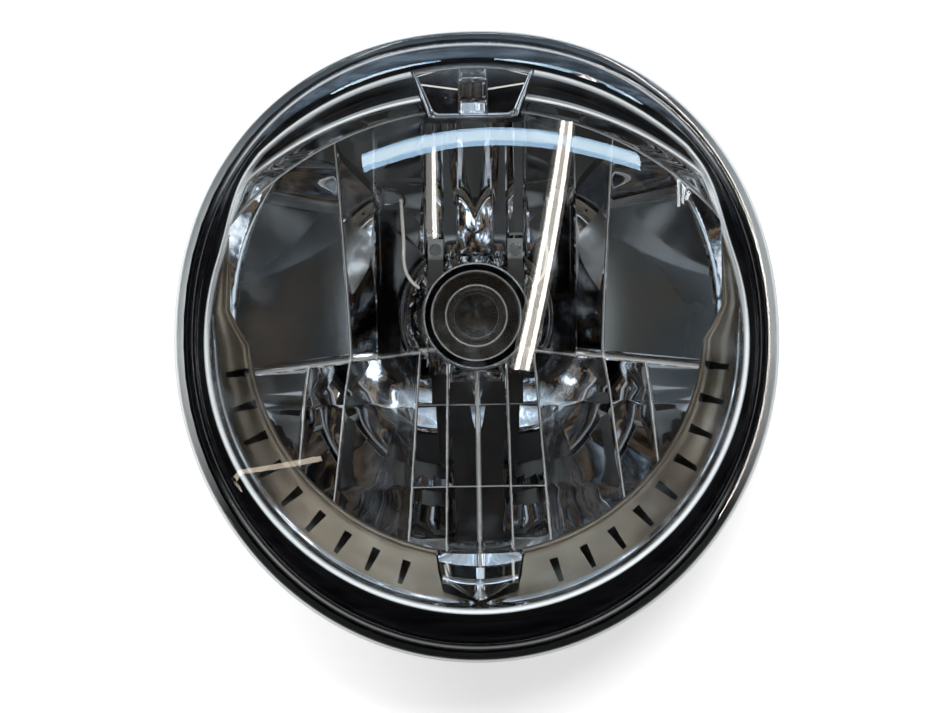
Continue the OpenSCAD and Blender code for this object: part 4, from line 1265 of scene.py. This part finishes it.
class HEADLIGHT_OT_bulb(bpy.types.Operator):
    """Builds the coiled filaments and the clear glass of the bulb"""
    bl_idname = "headlight.bulb"
    bl_label = "Bulb"

    def execute(self, context):
        z0 = mm("bulb_height")
        parts = [coil(0, 22, 27.5, z0 + 1.6, 0.55, 9, 0.13), coil(0, 30, 35.5, z0, 0.55, 9, 0.13)]
        parts += [wire_path([(x, y, z0 + z) for x, y, z in lead], 0.35) for lead in LEADS]
        obj = piece("filament_coils", joined(*parts), 60)
        metal = finish_material("Filament Wire", (0.4, 0.4, 0.41), 1.0, 0.25, 0.4, dust=0.0)
        fit(obj, metal, "bulb_filaments")
        glass = piece("bulb_envelope", turned_cap(GLASS_SECTION, z0), 50)
        fit(glass, glass_material("Bulb Glass", (0.99, 0.99, 0.985), 1.45), "bulb_glass")
        return {"FINISHED"}


# Stage

# The photograph's frame in pixels, where the lens axis lies in it, and its scale
PHOTO_WIDTH, PHOTO_HEIGHT = 950, 713
AXIS_ACROSS, AXIS_DOWN = 477, 342
PIXELS_PER_METRE = 3300
SENSOR = 36
CAMERA_AWAY = 2.5
CAMERA_ROLL = -0.9

TABLE_CORNERS = [(-0.2, -0.17), (0.2, -0.17), (0.2, 0.17), (-0.2, 0.17)]
TABLE_GAP = 0.0008
ROOM_RADIUS = 4.0
ROOM_COLOURS = [(0.0, (0.004, 0.005, 0.007)), (0.44, (0.008, 0.010, 0.014)), (0.47, (0.05, 0.036, 0.026)),
                (0.50, (0.40, 0.285, 0.19)), (0.53, (0.025, 0.026, 0.03)), (0.57, (0.36, 0.46, 0.58)),
                (0.615, (1.8, 2.0, 2.2)), (0.70, (3.2, 3.2, 3.2))]

# Tubes that show as reflections on the lens, in metres. A layer holds its name, any shift along x, its lift
# off the tubes' depth, half width, colour and strength. A small tube has its two ends after the lift
TUBES_Y = -1.2
CEILING_ARC = [(-0.53, 0.862), (-0.1, 0.965), (0.35, 0.975), (0.85, 0.915)]
CEILING_LAYERS = [("tube", 0.0, 0.06, (0.46, 0.72, 1.0), 15.0),
                  ("core", 0.01, 0.034, (0.68, 0.86, 1.0), 20.0)]
WALL_TOP, WALL_FOOT = (0.47, 1.1), (0.174, -0.11)
WALL_LAYERS = [("halo", 0.0, 0.0, 0.046, (1.0, 0.93, 0.83), 1.6),
               ("glow", 0.0, 0.01, 0.032, (1.0, 0.93, 0.83), 11.0),
               ("tube_a", -0.020, 0.02, 0.0085, (1.0, 0.95, 0.88), 34.0),
               ("tube_b", 0.020, 0.02, 0.0085, (1.0, 0.95, 0.88), 34.0)]
SMALL_TUBES = [("strip", 0.0, (-0.186, 0.93), (-0.165, 0.43), 0.009, (1.0, 0.98, 0.95), 24.0),
               ("strip_glow", -0.01, (-0.196, 0.95), (-0.175, 0.43), 0.026, (1.0, 0.93, 0.85), 4.0),
               ("stick", 0.0, (-1.42, -0.73), (-0.72, -0.52), 0.014, (1.0, 0.85, 0.68), 9.0)]
BAR_X, BAR_PITCH, BAR_COLOUR = 1.05, 0.035, (0.9, 0.95, 1.0)


def panel_mesh(name, corners):
    mesh = bpy.data.meshes.new(name)
    mesh.from_pydata(corners, [], [list(range(len(corners)))])
    obj = bpy.data.objects.new(name, mesh)
    bpy.context.scene.collection.objects.link(obj)
    return obj


def tube_light(name, lift, start, end, radius, shade, strength):
    """A lamp tube between two places of x and z, seen only in reflections."""
    a, b = (Vector((x, TUBES_Y + lift, z)) for x, z in (start, end))
    side = (b - a).cross(Vector((0, 1, 0))).normalized() * radius
    obj = panel_mesh(name, [a - side, a + side, b + side, b - side])
    material, tree = bare_material(name)
    glow = add(tree, "ShaderNodeEmission", {"Color": opaque(shade), "Strength": strength})
    add(tree, "ShaderNodeOutputMaterial", {"Surface": glow.outputs[0]})
    obj.data.materials.append(material)
    obj.visible_camera = False
    obj.visible_diffuse = False
    obj.visible_transmission = False
    obj.visible_shadow = False


def lens_reflections():
    """The blue arc, the double tube, the short bars and the stick on the lens's face."""
    arc = smooth_path(CEILING_ARC, 3)
    for k, (a, b) in enumerate(zip(arc, arc[1:])):
        for layer, lift, radius, shade, strength in CEILING_LAYERS:
            tube_light(f"ceiling_{layer}_{k}", lift, a, b, radius, shade, strength)
    for layer, shift, lift, radius, shade, strength in WALL_LAYERS:
        top, foot = ((x + shift, z) for x, z in (WALL_TOP, WALL_FOOT))
        tube_light(f"wall_{layer}", lift, top, foot, radius, shade, strength)
    for tube in SMALL_TUBES:
        tube_light(*tube)
    for k in range(3):
        x, shorter = BAR_X + BAR_PITCH * k, 0.03 * k
        top, foot = (x + 0.05, 0.86 - shorter), (x, 0.68 + shorter)
        tube_light(f"bar_{k}", 0.0, top, foot, 0.010, BAR_COLOUR, 14.0)


def room_material():
    """A dim room: dark, with soft brown, beige and blue patches, lit sides and a streaked blue ceiling."""
    material, tree = bare_material("Dim Room")
    where = place(tree)
    split = axes(tree, where)

    def zone(axis, start, full):
        return remap(tree, split[axis], start, full, interpolation_type="SMOOTHSTEP")

    def product(first, second):
        return sums(tree, "MULTIPLY", first, second)

    shade = ramp(tree, noise(tree, where, 1.3, 6, 0.6), ROOM_COLOURS)
    front = zone("Y", -0.2, -0.7)
    shade = laid_over(tree, shade, product(zone("X", -3.3, -3.6), front), (0.75, 1.0, 1.25, 1))
    shade = laid_over(tree, shade, product(zone("X", 3.2, 3.6), front), (0.9, 1.05, 1.15, 1))
    through = rays(tree, "Transmission")
    round_axis = remap(tree, split["Y"], -3.0, -2.0, 0.22)
    shade = scaled(tree, shade, product(remap(tree, through, start=0.08, end=0.95), round_axis))
    streaks = noise(tree, stretched(tree, where, (0.25, 1.6, 1.0)), 1.4, 3)
    streaks = product(remap(tree, streaks, 0.38, 0.62, 0.3), remap(tree, through, start=1.0, end=0.38))
    shade = laid_over(tree, shade, product(zone("Z", 2.9, 3.3), streaks), (1.7, 2.1, 2.5, 1))
    glow = add(tree, "ShaderNodeEmission", {"Color": shade})
    add(tree, "ShaderNodeOutputMaterial", {"Surface": glow.outputs[0]})
    return material


def table_material():
    """A white table: its own light shows only to the camera and in reflections, and its back is clear."""
    material, tree = bare_material("White Table")
    paint = add(tree, "ShaderNodeBsdfDiffuse", {"Color": (0.86, 0.86, 0.86, 1)})
    seen = sums(tree, "MULTIPLY", rays(tree, "Camera", "Glossy", "Transmission"), 0.42)
    glow = add(tree, "ShaderNodeEmission", {"Strength": seen})
    white = add(tree, "ShaderNodeAddShader", {0: paint.outputs[0], 1: glow.outputs[0]})
    back = add(tree, "ShaderNodeNewGeometry").outputs["Backfacing"]
    clear = add(tree, "ShaderNodeBsdfTransparent")
    surface = mixed(tree, back, white.outputs[0], clear.outputs[0])
    add(tree, "ShaderNodeOutputMaterial", {"Surface": surface})
    return material


def table_and_room():
    """The table just behind the terminals, and the dim room that only reflections and glass show."""
    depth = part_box("bulb_terminals")[1].y + TABLE_GAP
    table = panel_mesh("table", [(x, depth, z) for x, z in TABLE_CORNERS])
    table.data.materials.append(table_material())
    mesh = bpy.data.meshes.new("room")
    edit = bmesh.new()
    bmesh.ops.create_uvsphere(edit, u_segments=64, v_segments=48, radius=ROOM_RADIUS)
    edit.to_mesh(mesh)
    edit.free()
    room = bpy.data.objects.new("room", mesh)
    bpy.context.scene.collection.objects.link(room)
    room.data.materials.append(room_material())
    room.visible_camera = False
    room.visible_diffuse = False
    room.visible_shadow = False


def soft_lamp(name, where, size, energy):
    data = bpy.data.lights.new(name, "AREA")
    data.shape = "DISK"
    data.size = size
    data.energy = energy
    lamp = bpy.data.objects.new(name, data)
    bpy.context.scene.collection.objects.link(lamp)
    lamp.location = where
    lamp.rotation_euler = (-Vector(where)).to_track_quat("-Z", "Y").to_euler()
    lamp.visible_glossy = False
    lamp.visible_transmission = False


def white_world():
    """White all round, a little dimmer as light than to the camera and in reflections."""
    world = bpy.data.worlds.new("Studio")
    bpy.context.scene.world = world
    world.use_nodes = True
    tree = world.node_tree
    tree.nodes.clear()
    level = remap(tree, rays(tree, "Camera", "Glossy", "Transmission"), start=0.55, end=1.0)
    back = add(tree, "ShaderNodeBackground", {"Strength": level})
    add(tree, "ShaderNodeOutputWorld", {"Surface": back.outputs[0]})


def photo_camera():
    """A distant camera that looks along Y and frames the lens as the photograph does."""
    data = bpy.data.cameras.new("camera")
    data.sensor_width = SENSOR
    data.lens = SENSOR * CAMERA_AWAY / (PHOTO_WIDTH / PIXELS_PER_METRE)
    camera = bpy.data.objects.new("camera", data)
    bpy.context.scene.collection.objects.link(camera)
    across = (PHOTO_WIDTH / 2 - AXIS_ACROSS) / PIXELS_PER_METRE
    down = (AXIS_DOWN - PHOTO_HEIGHT / 2) / PIXELS_PER_METRE
    camera.location = (across, (bead_y() - BOSS_FACE) / 1000 - CAMERA_AWAY, down)
    turn = Matrix.Rotation(math.radians(90), 3, "X") @ Matrix.Rotation(math.radians(CAMERA_ROLL), 3, "Z")
    camera.rotation_euler = turn.to_euler()
    bpy.context.scene.camera = camera


class HEADLIGHT_OT_stage(bpy.types.Operator):
    """Sets the white table, the dim room, the lamps and the camera"""
    bl_idname = "headlight.stage"
    bl_label = "Stage"

    def execute(self, context):
        table_and_room()
        lens_reflections()
        soft_lamp("key", (-1.2, -2.0, 1.6), 1.6, 50)
        soft_lamp("fill", (0.25, -2.2, 0.5), 0.5, 24)
        white_world()
        context.scene.view_settings.view_transform = "Standard"
        photo_camera()
        return {"FINISHED"}


# Finishes of the solids that stay as they are

# Where the bracket's pale feet end, and depths in metres at which the housing's glue face starts and is full
BRACKET_FEET = 0.0255
GLUE_FACE = (-0.0388, -0.0394)
# Painted reflections on the rim's glue face, from the bottom round to the top
RIM_PAINTED_REFLECTIONS = [(0.0, (0.012, 0.011, 0.010)), (0.22, (0.02, 0.019, 0.018)), (0.36, (0.34, 0.34, 0.33)),
               (0.5, (0.55, 0.56, 0.56)), (0.72, (0.4, 0.42, 0.43)), (0.88, (0.09, 0.105, 0.12)),
               (1.0, (0.055, 0.07, 0.085))]


def darken_below(material, height, shade):
    """Gives the part of a piece below a height a darker colour."""
    tree, shader, above = painted(material)
    edge = remap(tree, axes(tree, place(tree))["Z"], height, height + 0.0004)
    wire(tree, laid_over(tree, opaque(shade), edge, above), shader.inputs["Base Color"])


def paint_rim_reflections(material):
    """Glue face of the rim behind the flange, with painted reflections by direction: pale at the sides, slate
    above, nearly black below.
    """
    tree, shader, plastic = painted(material)
    where = place(tree)
    outwards = vectors(tree, "NORMALIZE", vectors(tree, "MULTIPLY", where, (1, 0, 1)))
    shade = ramp(tree, remap(tree, axes(tree, outwards)["Z"], low=-1.0), RIM_PAINTED_REFLECTIONS)
    face = remap(tree, axes(tree, where)["Y"], *GLUE_FACE)
    wire(tree, laid_over(tree, plastic, face, shade), shader.inputs["Base Color"])


class HEADLIGHT_OT_solids(bpy.types.Operator):
    """Gives the remaining solids their finishes"""
    bl_idname = "headlight.solids"
    bl_label = "Other Solids"

    def execute(self, context):
        f = finishes()
        steel = finish_material("Plated Steel", f.steel, 1.0, 0.22, 0.4, 0.05, 1200, change=0.08)
        brass = finish_material("Turned Brass", f.brass, 1.0, 0.2, 0.4, 0.05, 800, change=0.1)
        rubber = finish_material("Moulded Rubber", f.rubber, 0.0, 0.5, 0.75, 0.25, 1600, dust=0.5, change=0.2)
        black = finish_material("Black Moulding", (0.012, 0.012, 0.013), 0.0, 0.35, 0.5, 0.1, 1400)
        housing = finish_material(
            "Grey Moulding", f.housing, 0.0, 0.42, 0.6, 0.2, 1500, dust=0.3, change=0.08)
        paint_rim_reflections(housing)
        # The position lamp's pane is coloured near black all over
        pane = finish_material("Smoked Pane", (0.004, 0.0045, 0.006), 0.0, 0.04, 0.12, dust=0.6)
        tin = finish_material("Tinned Brass", (0.72, 0.68, 0.56), 1.0, 0.25, 0.45, 0.04, change=0.1)
        cap = finish_material("Pressed Aluminium", (0.62, 0.61, 0.58), 1.0, 0.28, 0.45, 0.05, change=0.1)
        bracket = finish_material("Pressed Steel", (0.36, 0.36, 0.35), 0.7, 0.35, 0.5, 0.06, change=0.1)
        darken_below(bracket, BRACKET_FEET, (0.07, 0.063, 0.056))
        small_glass = glass_material("Small Bulb Glass", (0.98, 0.98, 0.97), 1.45)
        plan = {
            "lens_sealant": rubber, "housing": housing, "mount_inserts": brass, "reflector_screws": steel,
            "position_lamp_pane": pane, "position_lamp_box": black, "position_bulb_holder": black,
            "shield_bracket": bracket, "shield_rivets": steel, "bulb_inner_shield": steel, "bulb_base": cap,
            "bulb_terminals": tin, "bulb_clip": steel, "clip_screw": steel, "bulb_boot": rubber,
            "breather_elbows": rubber, "position_bulb": small_glass}
        for node, material in plan.items():
            dress(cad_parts[node], material)
        return {"FINISHED"}


class HEADLIGHT_PT_panel(bpy.types.Panel):
    """Lists the steps that build the headlight unit"""
    bl_idname = "HEADLIGHT_PT_panel"
    bl_label = "Headlight Unit"
    bl_space_type = "VIEW_3D"
    bl_region_type = "UI"
    bl_category = "Headlight"

    def draw(self, context):
        column = self.layout.column()
        for step in STEPS:
            column.operator(f"headlight.{step}")
        for group in (sizes(), finishes()):
            for name in group.bl_rna.properties.keys():
                if name not in ("rna_type", "name"):
                    column.prop(group, name)


STEPS = ["stage", "solids", "reflector", "shield", "bulb", "lamp_window", "bezel", "lens"]
CLASSES = [
    HeadlightSizes, HeadlightFinishes, HEADLIGHT_OT_stage, HEADLIGHT_OT_solids, HEADLIGHT_OT_reflector,
    HEADLIGHT_OT_shield, HEADLIGHT_OT_bulb, HEADLIGHT_OT_lamp_window, HEADLIGHT_OT_bezel, HEADLIGHT_OT_lens,
    HEADLIGHT_PT_panel]


def register():
    for cls in CLASSES:
        bpy.utils.register_class(cls)
    bpy.types.Scene.headlight_sizes = PointerProperty(type=HeadlightSizes)
    bpy.types.Scene.headlight_finishes = PointerProperty(type=HeadlightFinishes)


def unregister():
    del bpy.types.Scene.headlight_finishes
    del bpy.types.Scene.headlight_sizes
    for cls in reversed(CLASSES):
        bpy.utils.unregister_class(cls)


def main():
    register()
    for step in STEPS:
        getattr(bpy.ops.headlight, step)()


if __name__ == "__main__":
    main()
